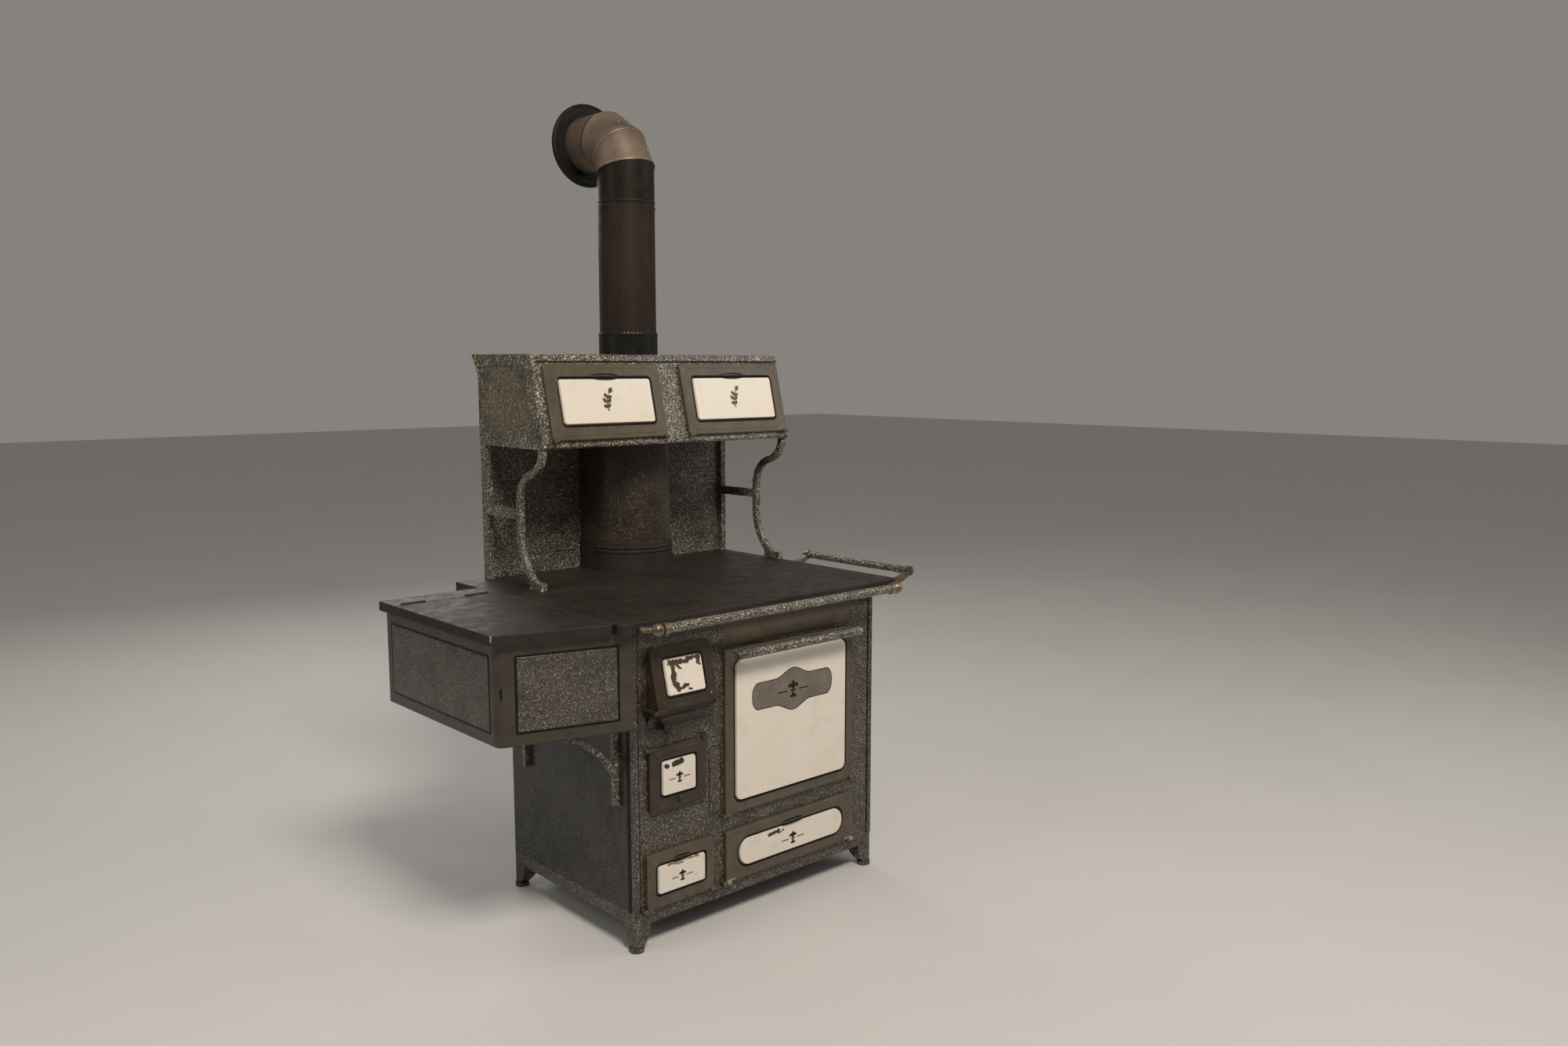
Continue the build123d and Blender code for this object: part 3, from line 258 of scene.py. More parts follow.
def porcelain(name, chips=(), bare_colour=(0.010, 0.008, 0.007), stained=0.35, ragged_edge=0.006):
    """Glossy cream porcelain. Each chip is (start, end, radius): bare dark iron with a brown rim."""
    s = Shader(name, Coat_Weight=0.22, Coat_Roughness=0.07, Specular_IOR_Level=0.4)
    ground = s.mix(s.noise(7, 4, 0.6), (0.73, 0.69, 0.63), (0.67, 0.61, 0.52))
    line = s.ramp(s.cracks(60), (0.0, 0.35), (0.012, 0.0))
    ground = s.mix(s.math("MULTIPLY", line, s.noise(9, 2, 0.5)), ground, (0.42, 0.31, 0.20))
    stain = s.ramp(s.noise(16, 6, 0.7), (0.55, 0.0), (0.8, stained))
    ground = s.mix(stain, ground, (0.46, 0.32, 0.20))
    rim = s.math("MULTIPLY", s.edges(0.002), s.ramp(s.noise(90, 4, 0.7), (0.5, 0.0), (0.6, 0.6)))
    ground = s.mix(rim, ground, (0.25, 0.16, 0.09))
    rough = s.ramp(s.noise(25, 4, 0.6), (0.3, 0.10), (0.8, 0.26))
    normal = s.bump(s.noise(35, 2, 0.5), 0.0006, 0.3, s.softened(0.0018))
    gap = None
    for start, end, radius in chips:
        here = s.math("SUBTRACT", s.reach(start, end), radius)
        gap = s.math("MINIMUM", gap, here) if gap else here
    if gap:
        wave = s.math("MULTIPLY", s.math("SUBTRACT", s.noise(85, 2, 0.5), 0.5), 2 * ragged_edge)
        small = s.math("MULTIPLY", s.math("SUBTRACT", s.noise(300, 4, 0.6), 0.5), 0.5 * ragged_edge)
        ragged = s.math("ADD", gap, s.math("ADD", wave, small))
        level = s.math("MULTIPLY", s.math("ADD", ragged, 0.002), 250, clamp=True)
        halo = s.ramp(level, (0.62, 0.55), (1.0, 0.0))
        bare = s.ramp(level, (0.42, 1.0), (0.5, 0.0))
        ground = s.mix(halo, ground, (0.40, 0.25, 0.12))
        metal = s.mix(s.noise(60, 5, 0.7), bare_colour, tuple(3 * c for c in bare_colour))
        ground = s.mix(bare, ground, metal)
        rough = s.mix(bare, rough, (0.6, 0.6, 0.6))
        normal = s.bump(s.math("SUBTRACT", 1.0, bare), 0.0007, 0.8, normal)
    s.set("Base Color", ground)
    s.set("Roughness", rough)
    s.set("Normal", normal)
    return s


def iron(name, colour, rust, metal=0.35, rough=0.42, grain=1.0, wear=0.5, spots=()):
    """Cast or sheet iron, blackened, with worn and rusted patches.

    Spots are (start, end, radius, colour).
    """
    s = Shader(name, Metallic=metal, Specular_IOR_Level=0.22)
    patch = s.ramp(s.noise(5.5 * grain, 7, 0.66), (0.35, 0.0), (0.68, 1.0))
    ground = s.mix(patch, colour, tuple(1.9 * c for c in colour))
    bloom = s.ramp(s.noise(19 * grain, 8, 0.74), (0.53, 0.0), (0.70, 0.75))
    ground = s.mix(bloom, ground, rust)
    bright = s.math("MULTIPLY", s.edges(), s.ramp(s.noise(70, 4, 0.6), (0.35, 0.0), (0.6, wear)))
    ground = s.mix(bright, ground, (0.20, 0.16, 0.13))
    ground = s.spotted(ground, spots)
    s.set("Base Color", ground)
    s.set("Roughness", s.ramp(s.noise(24 * grain, 6, 0.7), (0.3, rough - 0.12), (0.75, rough + 0.25)))
    pits = s.bump(s.noise(260, 4, 0.6), 0.0005, 0.5, s.softened())
    s.set("Normal", s.bump(s.noise(26 * grain, 6, 0.65), 0.0012, 0.35, pits))
    return s


def nickel(name):
    """Nickel plate gone yellow-brown, worn through in places."""
    s = Shader(name, Metallic=0.9)
    tarnish = s.ramp(s.noise(28, 7, 0.7), (0.38, 0.0), (0.66, 1.0))
    ground = s.mix(tarnish, (0.33, 0.275, 0.205), (0.11, 0.078, 0.050))
    s.set("Base Color", ground)
    s.set("Roughness", s.ramp(s.noise(55, 5, 0.65), (0.3, 0.24), (0.72, 0.55)))
    s.set("Normal", s.bump(s.noise(190, 4, 0.6), 0.0005, 0.5))
    return s


def elbow_look(name, bend_y, bend_z):
    """Sheet metal that changes along the elbow: a sooty foot, bare grey gores and a rusty last joint."""
    s = Shader(name, Metallic=0.45, Specular_IOR_Level=0.3)
    rise = s.math("SUBTRACT", s.axis("Z"), bend_z)
    run = s.math("SUBTRACT", bend_y, s.axis("Y"))
    share = s.math("DIVIDE", s.math("ARCTAN2", rise, run), math.pi / 2)
    ragged = s.math("MULTIPLY", s.math("SUBTRACT", s.noise(60, 4, 0.6), 0.5), 0.012)
    along = s.ramp(s.math("ADD", share, ragged),
                   (0.0, SOOTY), (0.160, SOOTY),
                   (0.168, (0.25, 0.19, 0.145)), (0.48, (0.18, 0.135, 0.10)), (0.838, (0.23, 0.17, 0.13)),
                   (0.844, (0.15, 0.058, 0.024)), (0.905, (0.13, 0.050, 0.022)),
                   (0.912, (0.14, 0.105, 0.08)))
    patch = s.ramp(s.noise(9, 6, 0.66), (0.3, 0.55), (0.7, 1.0))
    ground = s.mix(1.0, along, patch, "MULTIPLY")
    bloom = s.ramp(s.noise(26, 8, 0.74), (0.55, 0.0), (0.72, 0.5))
    ground = s.mix(bloom, ground, (0.075, 0.035, 0.017))
    s.set("Base Color", ground)
    s.set("Roughness", s.ramp(s.noise(24, 6, 0.7), (0.3, 0.38), (0.75, 0.62)))
    s.set("Normal", s.bump(s.noise(26, 6, 0.65), 0.001, 0.3, s.softened()))
    return s


FLECK = (0.68, 0.65, 0.55)
SOOTY = (0.014, 0.009, 0.006)
BLACKED, BLACKED_RUST = (0.020, 0.0158, 0.0136), (0.032, 0.023, 0.017)
GREY, GREY_DEEP = (0.092, 0.075, 0.049), (0.062, 0.049, 0.032)
FLARE = 18 * MM                        # closet's back top corners, past its sides
CALM_NEAR, CALM_FAR = 1 * MM, 3 * MM   # lighter strip on the closet's front edges, from its sides
HEARTH = 0.26                          # how far the fire has browned the front
BEND = 125 * MM                        # elbow's radius
ELBOW_FOOT = 70 * MM
closet_low, closet_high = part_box("closet")
fire_low, fire_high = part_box("fire_panel")
elbow_low, elbow_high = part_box("elbow")
pipe_low, pipe_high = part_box("stovepipe")
axis_x, axis_y = (pipe_low.x + pipe_high.x) / 2, (pipe_low.y + pipe_high.y) / 2
bend_y, bend_z = axis_y + BEND, elbow_low.z + ELBOW_FOOT
left_edge, right_edge = closet_low.x + FLARE, closet_high.x - FLARE
calm = ((left_edge + CALM_NEAR, left_edge + CALM_FAR), (right_edge - CALM_FAR, right_edge - CALM_NEAR))
hearth = (((fire_low.x + fire_high.x) / 2, fire_low.y, fire_low.z), HEARTH)
enamel = speckled("speckled_enamel", (0.034, 0.028, 0.018), (0.050, 0.041, 0.026), FLECK, cover=0.64)
enamel_closet = speckled("speckled_enamel_closet", (0.030, 0.024, 0.014), (0.044, 0.036, 0.022),
                         (0.70, 0.66, 0.55), 1.05, cover=0.63, calm=calm)
enamel_front = speckled("speckled_enamel_front", (0.026, 0.020, 0.012), (0.038, 0.029, 0.018),
                        (0.42, 0.41, 0.37), 0.85, cover=0.49, soot=hearth)
enamel_fine = speckled("speckled_enamel_fine", (0.034, 0.028, 0.020), (0.046, 0.038, 0.027),
                       (0.34, 0.33, 0.29), 0.8, 0.3, 0.53)
# Flue column: darker ground and dim flecks, partly browned by heat and partly painted shade under the
# closet
enamel_browned_and_shaded = speckled("speckled_enamel_browned_and_shaded", (0.018, 0.013, 0.008), (0.030, 0.019, 0.011),
                       (0.22, 0.20, 0.16), 0.9, 0.3, 0.44)
enamel_splash = speckled("speckled_enamel_splash", (0.030, 0.024, 0.017), (0.046, 0.036, 0.024),
                         (0.70, 0.66, 0.56), 0.95, 0.3, 0.57)
# Sides and back: near-black ground and dim flecks, painted shade over the body's sides
enamel_side_shaded = speckled("speckled_enamel_side_shaded", (0.009, 0.008, 0.006), (0.014, 0.012, 0.009),
                       (0.20, 0.20, 0.19), 0.9, 0.3, 0.47)
grey = plain_enamel("grey_enamel", GREY, GREY_DEEP)
grey_dark = plain_enamel("grey_enamel_dark", (0.040, 0.027, 0.017), (0.022, 0.014, 0.009), 0.34)
grey_tank = plain_enamel("grey_enamel_tank", (0.052, 0.043, 0.031), (0.034, 0.027, 0.019))
cream = porcelain("porcelain")
top_iron = iron("cast_iron_top", BLACKED, BLACKED_RUST, 0.1, 0.46, wear=0.35)
LID_EDGE = Vector((0, 0, 12 * MM))
LID_HOLE = Vector((0.135, -0.005, 0))      # from the lid's corner
lid = nodes["reservoir_lid"]
lid_points = [lid.matrix_world @ vertex.co for vertex in lid.data.vertices]
lid_corner = min(lid_points, key=lambda spot: 100 * spot.x + spot.y - spot.z)      # left, front, top
lid_hole = lid_corner + LID_HOLE
# painted shade: the spot at lid_hole is near black, standing for the dark inside of a small hole
lid_iron = iron("cast_iron_lid", BLACKED, BLACKED_RUST, 0.1, 0.55, wear=0.35,
                spots=((lid_corner, lid_corner - LID_EDGE, 2.6 * MM, (0.30, 0.27, 0.23)),
                       (lid_hole, lid_hole, 4 * MM, (0.004, 0.004, 0.004))))
fire_iron = iron("cast_iron", (0.018, 0.014, 0.011), (0.06, 0.028, 0.014), 0.2, 0.6)
steel = iron("oven_steel", (0.055, 0.050, 0.045), (0.10, 0.055, 0.030), 0.6, 0.45)
pipe = iron("pipe_black", SOOTY, (0.034, 0.021, 0.014), 0.15, 0.52, 0.8, wear=0.15)
pipe_grey = elbow_look("pipe_grey", bend_y, bend_z)
collar_black = iron("collar_black", (0.004, 0.0037, 0.0034), (0.008, 0.006, 0.005), 0.0, 0.40, wear=0.1)
plate = nickel("worn_nickel")
lining_black = Shader("black_lining", Specular_IOR_Level=0.16)
lining_black.set("Base Color", lining_black.mix(lining_black.noise(40, 4, 0.6), (0.004, 0.004, 0.004),
                                                (0.010, 0.008, 0.006)))
lining_black.set("Roughness", lining_black.ramp(lining_black.noise(60, 4, 0.6), (0.3, 0.28), (0.7, 0.45)))
lining_black.set("Normal", lining_black.softened())


def finish(material, *names):
    for name in names:
        slots = nodes[name].data.materials
        slots.clear()
        slots.append(material.material)


# Finishes of the CAD parts

# flue column: its enamel is darkened partly by painted shade
finish(enamel_browned_and_shaded, "flue_column")
finish(enamel_splash, "splash_back")
finish(enamel, "bracket_left", "bracket_right", "front_rail", "towel_bar",
       "reservoir_brackets", "oven_handle")
finish(enamel_closet, "closet")
finish(enamel_front, "front_frame", "base")
# painted shade: the sides and back are near-black enamel
finish(enamel_side_shaded, "side_left", "side_right", "back_sheet")
finish(steel, "flue_casing", "oven_box", "oven_rack", "storage_box")
finish(fire_iron, "firebox", "draft_knob")
finish(top_iron, "oven_plate", "cooktop", "reservoir_strip", "lid_front_left",
       "lid_rear_left", "lid_front_middle", "lid_rear_middle", "flue_collar")
finish(lid_iron, "reservoir_lid")
finish(pipe, "stovepipe")
finish(collar_black, "pipe_collar", "wall_collar")
finish(pipe_grey, "elbow", "wall_pipe")
finish(plate, "rail_holders", "bar_holders")
finish(grey_tank, "reservoir")
finish(grey, *(name for name in nodes if name.endswith("_door")))
finish(grey_dark, "fire_door", "draft_door")
finish(cream, *(name for name in nodes if name.endswith("_panel")))


# Mesh helpers

def piece(name, mesh, material, body, smooth=25):
    """Make an object from a bmesh, shade it and let it ride on a body."""
    bmesh.ops.recalc_face_normals(mesh, faces=mesh.faces)
    data = bpy.data.meshes.new(name)
    mesh.to_mesh(data)
    mesh.free()
    thing = bpy.data.objects.new(name, data)
    bpy.context.scene.collection.objects.link(thing)
    data.materials.append(material.material)
    data.shade_smooth()
    data.set_sharp_from_angle(angle=math.radians(smooth))
    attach(thing, body)


def rounded(width, height, radius, steps=8):
    """Corners of a rounded rectangle round 0, 0, anticlockwise."""
    points = []
    for quarter, (sx, sy) in enumerate(((1, 1), (-1, 1), (-1, -1), (1, -1))):
        cx, cy = sx * (width / 2 - radius), sy * (height / 2 - radius)
        for step in range(steps + 1):
            turn = math.radians(90 * (quarter + step / steps))
            points.append((cx + radius * math.cos(turn), cy + radius * math.sin(turn)))
    return points


def loft(mesh, rings, loop=False, caps=False):
    """Join rings of equally many points. Caps close the first and last ring."""
    made = [[mesh.verts.new(point) for point in ring] for ring in rings]
    pairs = list(zip(made, made[1:]))
    if loop:
        pairs.append((made[-1], made[0]))
    for first, second in pairs:
        for index in range(len(first)):
            after = (index + 1) % len(first)
            mesh.faces.new((first[index], first[after], second[after], second[index]))
    if caps:
        mesh.faces.new(made[0][::-1])
        mesh.faces.new(made[-1])


def raised(name, place, width, height, profile, material):
    """A plate with a rounded outline in place's u, v: (inset, rise, corner radius) points, in mm."""
    mesh = bmesh.new()
    rings = []
    for inset, rise, corner in profile:
        line = rounded(width - 2 * inset, height - 2 * inset, corner)
        rings.append([place @ Vector((u * MM, v * MM, rise * MM)) for u, v in line])
    loft(mesh, rings, caps=True)
    piece(name, mesh, material, ROOT)


def facing(across, up, out, start):
    """Matrix that turns across, up and out into the range's frame, from start."""
    return Matrix.Translation(start) @ Matrix((across, up, out)).transposed().to_4x4()


# The doors' own frames: u across from the middle, v up from the bottom edge, w out of the front

PANEL_PROUD = 3 * MM      # panel's face in front of its frame's
# Lean in degrees, sizes in mm: the frame's width and height, its width beside the panel and above
# it, and the panel's corner radius
Door = namedtuple("Door", "lean width height top_hinged beside above corner")
DOORS = {
    "fire": Door(14, 186, 155.62, False, 34, 32, 8),
    "draft": Door(0, 178, 161, True, 36, 36, 8),
    "ash": Door(0, 212, 142, False, 31, 34, 8),
    "oven": Door(0, 466, 438, False, 32, 32, 20),
    "storage": Door(0, 466, 138, False, 43, 32, 34),
    "closet_left": Door(13.8, 378, 210, False, 39, 42, 9),
    "closet_right": Door(13.8, 378, 210, False, 39, 42, 9),
}
LINING = ((0.4, -4.8), (0.4, -0.8), (3.0, 0.1), (5.7, -0.8), (5.7, -4.8))
LIP = ((6.0, -0.6), (6.2, 0.5), (6.8, 0.8), (7.6, 0.5), (8.4, -0.3))
RIB = ((-1.6, -0.3), (-0.6, 0.45), (0.6, 0.45), (1.6, -0.3))
RIB_INSET = 10            # mm, rib's middle from the frame's nearest edge


def door_frame(name):
    """Matrix that turns u, v, w of a door into the range's frame."""
    door = DOORS[name]
    tilt = math.radians(door.lean)
    up = Vector((0, math.sin(tilt), math.cos(tilt)))
    out = Vector((0, -math.cos(tilt), math.sin(tilt)))
    start = hinges[f"{name}_door_hinge"]
    if door.top_hinged:
        start = start - up * door.height * MM
    return facing(Vector((1, 0, 0)), up, out, start)


def ring(name, label, profile, material):
    """A rounded-rectangle moulding round a panel: (distance from the panel, rise) points, in mm."""
    door = DOORS[name]
    place = door_frame(name)
    mesh = bmesh.new()
    rings = []
    for away, rise in profile:
        line = rounded(door.width - 2 * (door.beside - away), door.height - 2 * (door.above - away),
                       door.corner + away)
        rings.append([place @ Vector((u * MM, (door.height / 2 + v) * MM, rise * MM)) for u, v in line])
    loft(mesh, rings, loop=True)
    piece(f"{name}_{label}", mesh, material, f"{name}_door")


for name, door in DOORS.items():
    frame_look = grey_dark if name in ("fire", "draft") else grey
    rib = min(door.beside, door.above) - RIB_INSET
    ring(name, "lining", LINING, lining_black)
    ring(name, "lip", LIP, frame_look)
    ring(name, "rib", [(rib + away, rise) for away, rise in RIB], frame_look)


# Chips in the porcelain, each along a line: how far across and up the panel it starts and ends, from 0
# to 1, and its radius in mm
CHIPS = {
    "fire": ((0.17, 0.86, 0.42, 0.87, 8.0), (0.42, 0.88, 0.62, 0.86, 6.0), (0.62, 0.90, 0.92, 0.92, 4.0),
             (0.21, 0.85, 0.21, 0.34, 7.0), (0.22, 0.30, 0.30, 0.17, 8.0), (0.36, 0.16, 0.52, 0.22, 4.5),
             (0.88, 0.90, 0.88, 0.74, 5.0), (0.36, 0.78, 0.40, 0.70, 4.0), (0.56, 0.10, 0.62, 0.09, 2.0)),
    "draft": ((0.10, 0.86, 0.16, 0.83, 5.2), (0.34, 0.86, 0.56, 0.90, 7.4), (0.34, 0.82, 0.45, 0.83, 3.0)),
    "storage": ((0.27, 0.83, 0.36, 0.88, 4.5), (0.36, 0.80, 0.41, 0.86, 2.5)),
    "ash": ((0.20, 0.97, 0.85, 0.99, 3.5), (0.40, 0.92, 0.50, 0.93, 2.5)),
}


def chips(name):
    """A door's chips as (start, end, radius) in the range's frame."""
    door = DOORS[name]
    place = door_frame(name)
    wide, tall = door.width - 2 * door.beside, door.height - 2 * door.above

    def on_panel(across, up):
        return place @ Vector(((across - 0.5) * wide * MM, (door.above + up * tall) * MM, PANEL_PROUD))

    return [(on_panel(left, bottom), on_panel(right, top), radius * MM)
            for left, bottom, right, top, radius in CHIPS[name]]


finish(porcelain("porcelain_fire", chips("fire"), (0.026, 0.015, 0.009), ragged_edge=0.011), "fire_panel")
finish(porcelain("porcelain_draft", chips("draft"), ragged_edge=0.0025), "draft_panel")
finish(porcelain("porcelain_storage", chips("storage"), ragged_edge=0.004), "storage_panel")
finish(porcelain("porcelain_ash", chips("ash"), (0.11, 0.065, 0.034), 0.8), "ash_panel")

# The storage door's knuckles are rubbed down to bare metal
KNUCKLE_INSET, KNUCKLE_HALF, KNUCKLE_RADIUS = 12, 12, 9      # mm
knuckles = []
for side in (-1, 1):
    inset = DOORS["storage"].width / 2 - KNUCKLE_INSET
    middle = hinges["storage_door_hinge"] + Vector((side * inset * MM, 0, 0))
    half = Vector((KNUCKLE_HALF * MM, 0, 0))
    knuckles.append((middle - half, middle + half, KNUCKLE_RADIUS * MM, (0.26, 0.20, 0.135)))
finish(plain_enamel("grey_enamel_storage", GREY, GREY_DEEP, spots=knuckles), "storage_door")


# The reservoir: speckled panels with a black line, let into its front and left faces

RESERVOIR_SLANT = math.radians(16)      # of its front face
PANEL_BORDERS = 56                      # mm, above and below a panel together
RESERVOIR_LINE = ((0, -1.0, 5), (0, 0.1, 5), (0.6, 0.5, 4.58))
RESERVOIR_FIELD = ((6, -1.0, 1.2), (6, 0.5, 1.2), (6.6, 0.9, 1.2))
TAB = ((0, -1.0, 1.6), (0, 0.6, 1.6), (0.7, 1.4, 1.6))
TAB_WIDTH, TAB_HEIGHT, TAB_BESIDE, TAB_UP = 5, 27, 32, 6      # mm, beside the front panel's line

tank_low, tank_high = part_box("reservoir")
tank_bend = tank_low.y + (tank_high.x - tank_low.x) * math.tan(RESERVOIR_SLANT)
# name: where the face starts and ends, and the borders left of and right of its panel, in mm
FACES = {
    "front": ((tank_low.x, tank_bend), (tank_high.x, tank_low.y), 42, 34),
    "side": ((tank_low.x, tank_high.y), (tank_low.x, tank_bend), 22, 30),
}
for name, (start, end, left_border, right_border) in FACES.items():
    start, end = Vector((*start, 0)), Vector((*end, 0))
    across = (end - start).normalized()
    wide = (end - start).length / MM - left_border - right_border
    tall = (tank_high.z - tank_low.z) / MM - PANEL_BORDERS
    middle = start + across * (left_border + wide / 2) * MM
    middle.z = (tank_low.z + tank_high.z) / 2
    place = facing(across, Vector(UP), across.cross(Vector(UP)), middle)
    raised(f"reservoir_{name}_line", place, wide, tall, RESERVOIR_LINE, lining_black)
    raised(f"reservoir_{name}_field", place, wide, tall, RESERVOIR_FIELD, enamel_fine)
    if name == "front":
        place = place @ Matrix.Translation((-(wide / 2 + TAB_BESIDE) * MM, TAB_UP * MM, 0))
        raised("reservoir_tab", place, TAB_WIDTH, TAB_HEIGHT, TAB, lining_black)


# Ornament on the porcelain: a lily between two dashes, and a sprig on the closet's doors

def stroke(points, widths):
    """Outline of a line with a changing width."""
    left, right = [], []
    for index, (x, y) in enumerate(points):
        before, after = points[max(index - 1, 0)], points[min(index + 1, len(points) - 1)]
        run = Vector((after[0] - before[0], after[1] - before[1])).normalized()
        side = Vector((-run.y, run.x)) * widths[index] / 2
        left.append((x + side.x, y + side.y))
        right.append((x - side.x, y - side.y))
    return left + right[::-1]


def arc(cx, cy, radius, start, end, steps=10):
    turns = [math.radians(start + (end - start) * step / steps) for step in range(steps + 1)]
    return [(cx + radius * math.cos(turn), cy + radius * math.sin(turn)) for turn in turns]


def leaf(width, height, foot=0.0, steps=7):
    """A pointed leaf that stands on 0, foot."""
    side = [(width / 2 * math.sin(math.pi * step / steps) ** 0.8, foot + height * step / steps)
            for step in range(1, steps)]
    return [(0, foot)] + side + [(0, foot + height)] + [(-x, y) for x, y in reversed(side)]


def lily(size):
    """Outlines of a lily, its band and its foot, with a long dash on either side."""
    k = size / 30
    shapes = [[(x * k, y * k) for x, y in leaf(7.5, 15, -1)]]
    for side in (-1, 1):
        petal = arc(5.4, 2.4, 3.6, 215, 0)
        thick = [2.6 + 3.0 * math.sin(math.pi * step / 10) ** 0.7 for step in range(11)]
        shapes.append([(side * x * k, y * k) for x, y in stroke(petal, thick)])
        tail = arc(4.0, -9.0, 2.8, 160, 330)
        thin = [2.0 + 2.2 * math.sin(math.pi * step / 10) for step in range(11)]
        shapes.append([(side * x * k, y * k) for x, y in stroke(tail, thin)])
        dash = [(12, 0.6), (13, 1.0), (31, 1.0), (33, 0.0), (31, -1.0), (13, -1.0), (12, -0.6)]
        shapes.append([(side * x * k, (y - 2.2) * k) for x, y in dash])
    shapes.append([(x * k, y * k) for x, y in ((-5, -0.9), (5, -0.9), (5, -3.7), (-5, -3.7))])
    shapes.append([(x * k, -y * k) for x, y in leaf(5.4, 12.5, 2.6)])
    return shapes


def turn_shape(shape, angle, x, y, k):
    """A shape turned by an angle in degrees, moved and scaled."""
    c, s = math.cos(math.radians(angle)), math.sin(math.radians(angle))
    return [((x + px * c - py * s) * k, (y + px * s + py * c) * k) for px, py in shape]


def sprig(size):
    """Outlines of a small sprig: a curved stem with paired leaves and a bud."""
    k = size / 40
    stem = arc(26, -6, 32, 200, 142, 12)
    thick = [2.6 - 1.2 * step / 12 for step in range(13)]
    shapes = [[(x * k, y * k) for x, y in stroke(stem, thick)]]
    for step, length in ((2, 9), (5, 11), (8, 10)):
        lean = 18 - 58 * step / 12
        shapes.append(turn_shape(leaf(6.4, length, 0.4), lean + 48, *stem[step], k))
        shapes.append(turn_shape(leaf(6.4, length, 0.4), lean - 48, *stem[step], k))
    shapes.append(turn_shape(leaf(8.0, 12, -1), -38, *stem[-1], k))
    return shapes


INLAY_SUNK, INLAY_RISE, INLAY_STEP = 0.2, 0.25, 0.012      # mm, each shape a step over the last


def inlay(name, label, shapes, material, up=0.0, across=0.0, over=0.0):
    """Thin enamel shapes on a door's panel, or over another inlay. All in mm."""
    middle = DOORS[name].height / 2 + up
    place = door_frame(name) @ Matrix.Translation((across * MM, middle * MM, PANEL_PROUD))
    mesh = bmesh.new()
    for index, shape in enumerate(shapes):
        rings = [[place @ Vector((u * MM, v * MM, rise * MM)) for u, v in shape]
                 for rise in (-INLAY_SUNK, INLAY_RISE + over + INLAY_STEP * index)]
        loft(mesh, rings, caps=True)
    piece(f"{name}_{label}", mesh, material, f"{name}_door")


def cartouche(width, height, edge):
    """Outline of a long plain plaque: a lobe in its middle, straight shoulders and rounded ends."""
    points = []
    for step in range(97):
        t = math.cos(math.pi * step / 96)
        away = abs(t)
        lobe = 0.62 + 0.19 * (1 + math.cos(math.pi * min(away / 0.45, 1)))
        end = math.sqrt(max(0, 1 - (max(0, away - 0.84) / 0.16) ** 2)) ** 0.8
        points.append((t * (width / 2 + edge), height / 2 * lobe * end + edge * min(1, 8 * (1 - away))))
    return points + [(x, -y) for x, y in reversed(points[1:-1])]


LILY_DOWN, PLAQUE_UP = -3, 80                 # mm from a panel's middle
PLAQUE_WIDTH, PLAQUE_HEIGHT = 288, 112
ink = plain_enamel("inlay_black", (0.006, 0.005, 0.005), (0.010, 0.008, 0.007), 0.4, 0.12)
ink_grey = plain_enamel("inlay_grey", (0.075, 0.062, 0.050), (0.040, 0.032, 0.026), 0.25)
plaque = plain_enamel("inlay_plaque", (0.17, 0.145, 0.12), (0.12, 0.10, 0.082), 0.2)
inlay("draft", "lily", lily(31), ink, LILY_DOWN)
inlay("ash", "lily", lily(31), ink, LILY_DOWN)
inlay("storage", "lily", lily(38), ink, LILY_DOWN)
inlay("closet_left", "sprig", sprig(66), ink_grey, across=4)
inlay("closet_right", "sprig", sprig(66), ink_grey, across=4)
inlay("oven", "cartouche_line", [cartouche(PLAQUE_WIDTH, PLAQUE_HEIGHT, 2.2)], ink, PLAQUE_UP)
inlay("oven", "cartouche", [cartouche(PLAQUE_WIDTH, PLAQUE_HEIGHT, 0)], plaque, PLAQUE_UP, over=0.15)
inlay("oven", "lily", lily(52), ink, PLAQUE_UP, over=0.3)


# The front: a plain panel over the oven door, dark strips beside the corner beads, and a slim
# raised panel beside the draft door

def bar(name, start, end, profile, across, up, material):
    """A straight bar: a profile of (across, up) points run from start to end, its ends closed."""
    mesh = bmesh.new()
    across, up = Vector(across), Vector(up)
    rings = [[Vector(point) + (across * a + up * b) * MM for a, b in profile] for point in (start, end)]
    loft(mesh, rings, caps=True)
    piece(name, mesh, material, ROOT)


front_low, front_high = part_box("front_frame")
oven_low, oven_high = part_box("oven_door")
side_low, side_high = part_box("side_left")
right_low, right_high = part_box("side_right")
FRONT_THICK = 12 * MM
face = side_low.y - FRONT_THICK
END_GAP = 2 * MM                          # strips stop short of the casting's ends

HEAD_UNDER, HEAD_OVER = 7 * MM, 34 * MM   # casting left bare below and above the oven's head panel
head_bottom, head_top = oven_high.z + HEAD_UNDER, front_high.z - HEAD_OVER
head_middle = (head_bottom + head_top) / 2
half = (head_top - head_bottom) / 2 / MM - 0.6
slab = ((-1.8, -half), (-0.6, -half), (0.2, 1 - half), (0.2, half - 1), (-0.6, half), (-1.8, half))
bar("oven_head_panel", (oven_low.x + 1 * MM, face, head_middle), (oven_high.x - 1 * MM, face, head_middle),
    slab, OUT, UP, grey)

STRIP_INSET, STRIP_WIDTH = 14.5, 3        # mm
STRIP = ((-1, 0), (0.5, 0), (0.5, STRIP_WIDTH), (-1, STRIP_WIDTH))
for name, x in (("left", front_low.x + STRIP_INSET * MM),
                ("right", front_high.x - (STRIP_INSET + STRIP_WIDTH) * MM)):
    bar(f"corner_strip_{name}", (x, face, front_low.z + END_GAP), (x, face, front_high.z - END_GAP),
        STRIP, OUT, (1, 0, 0), lining_black)

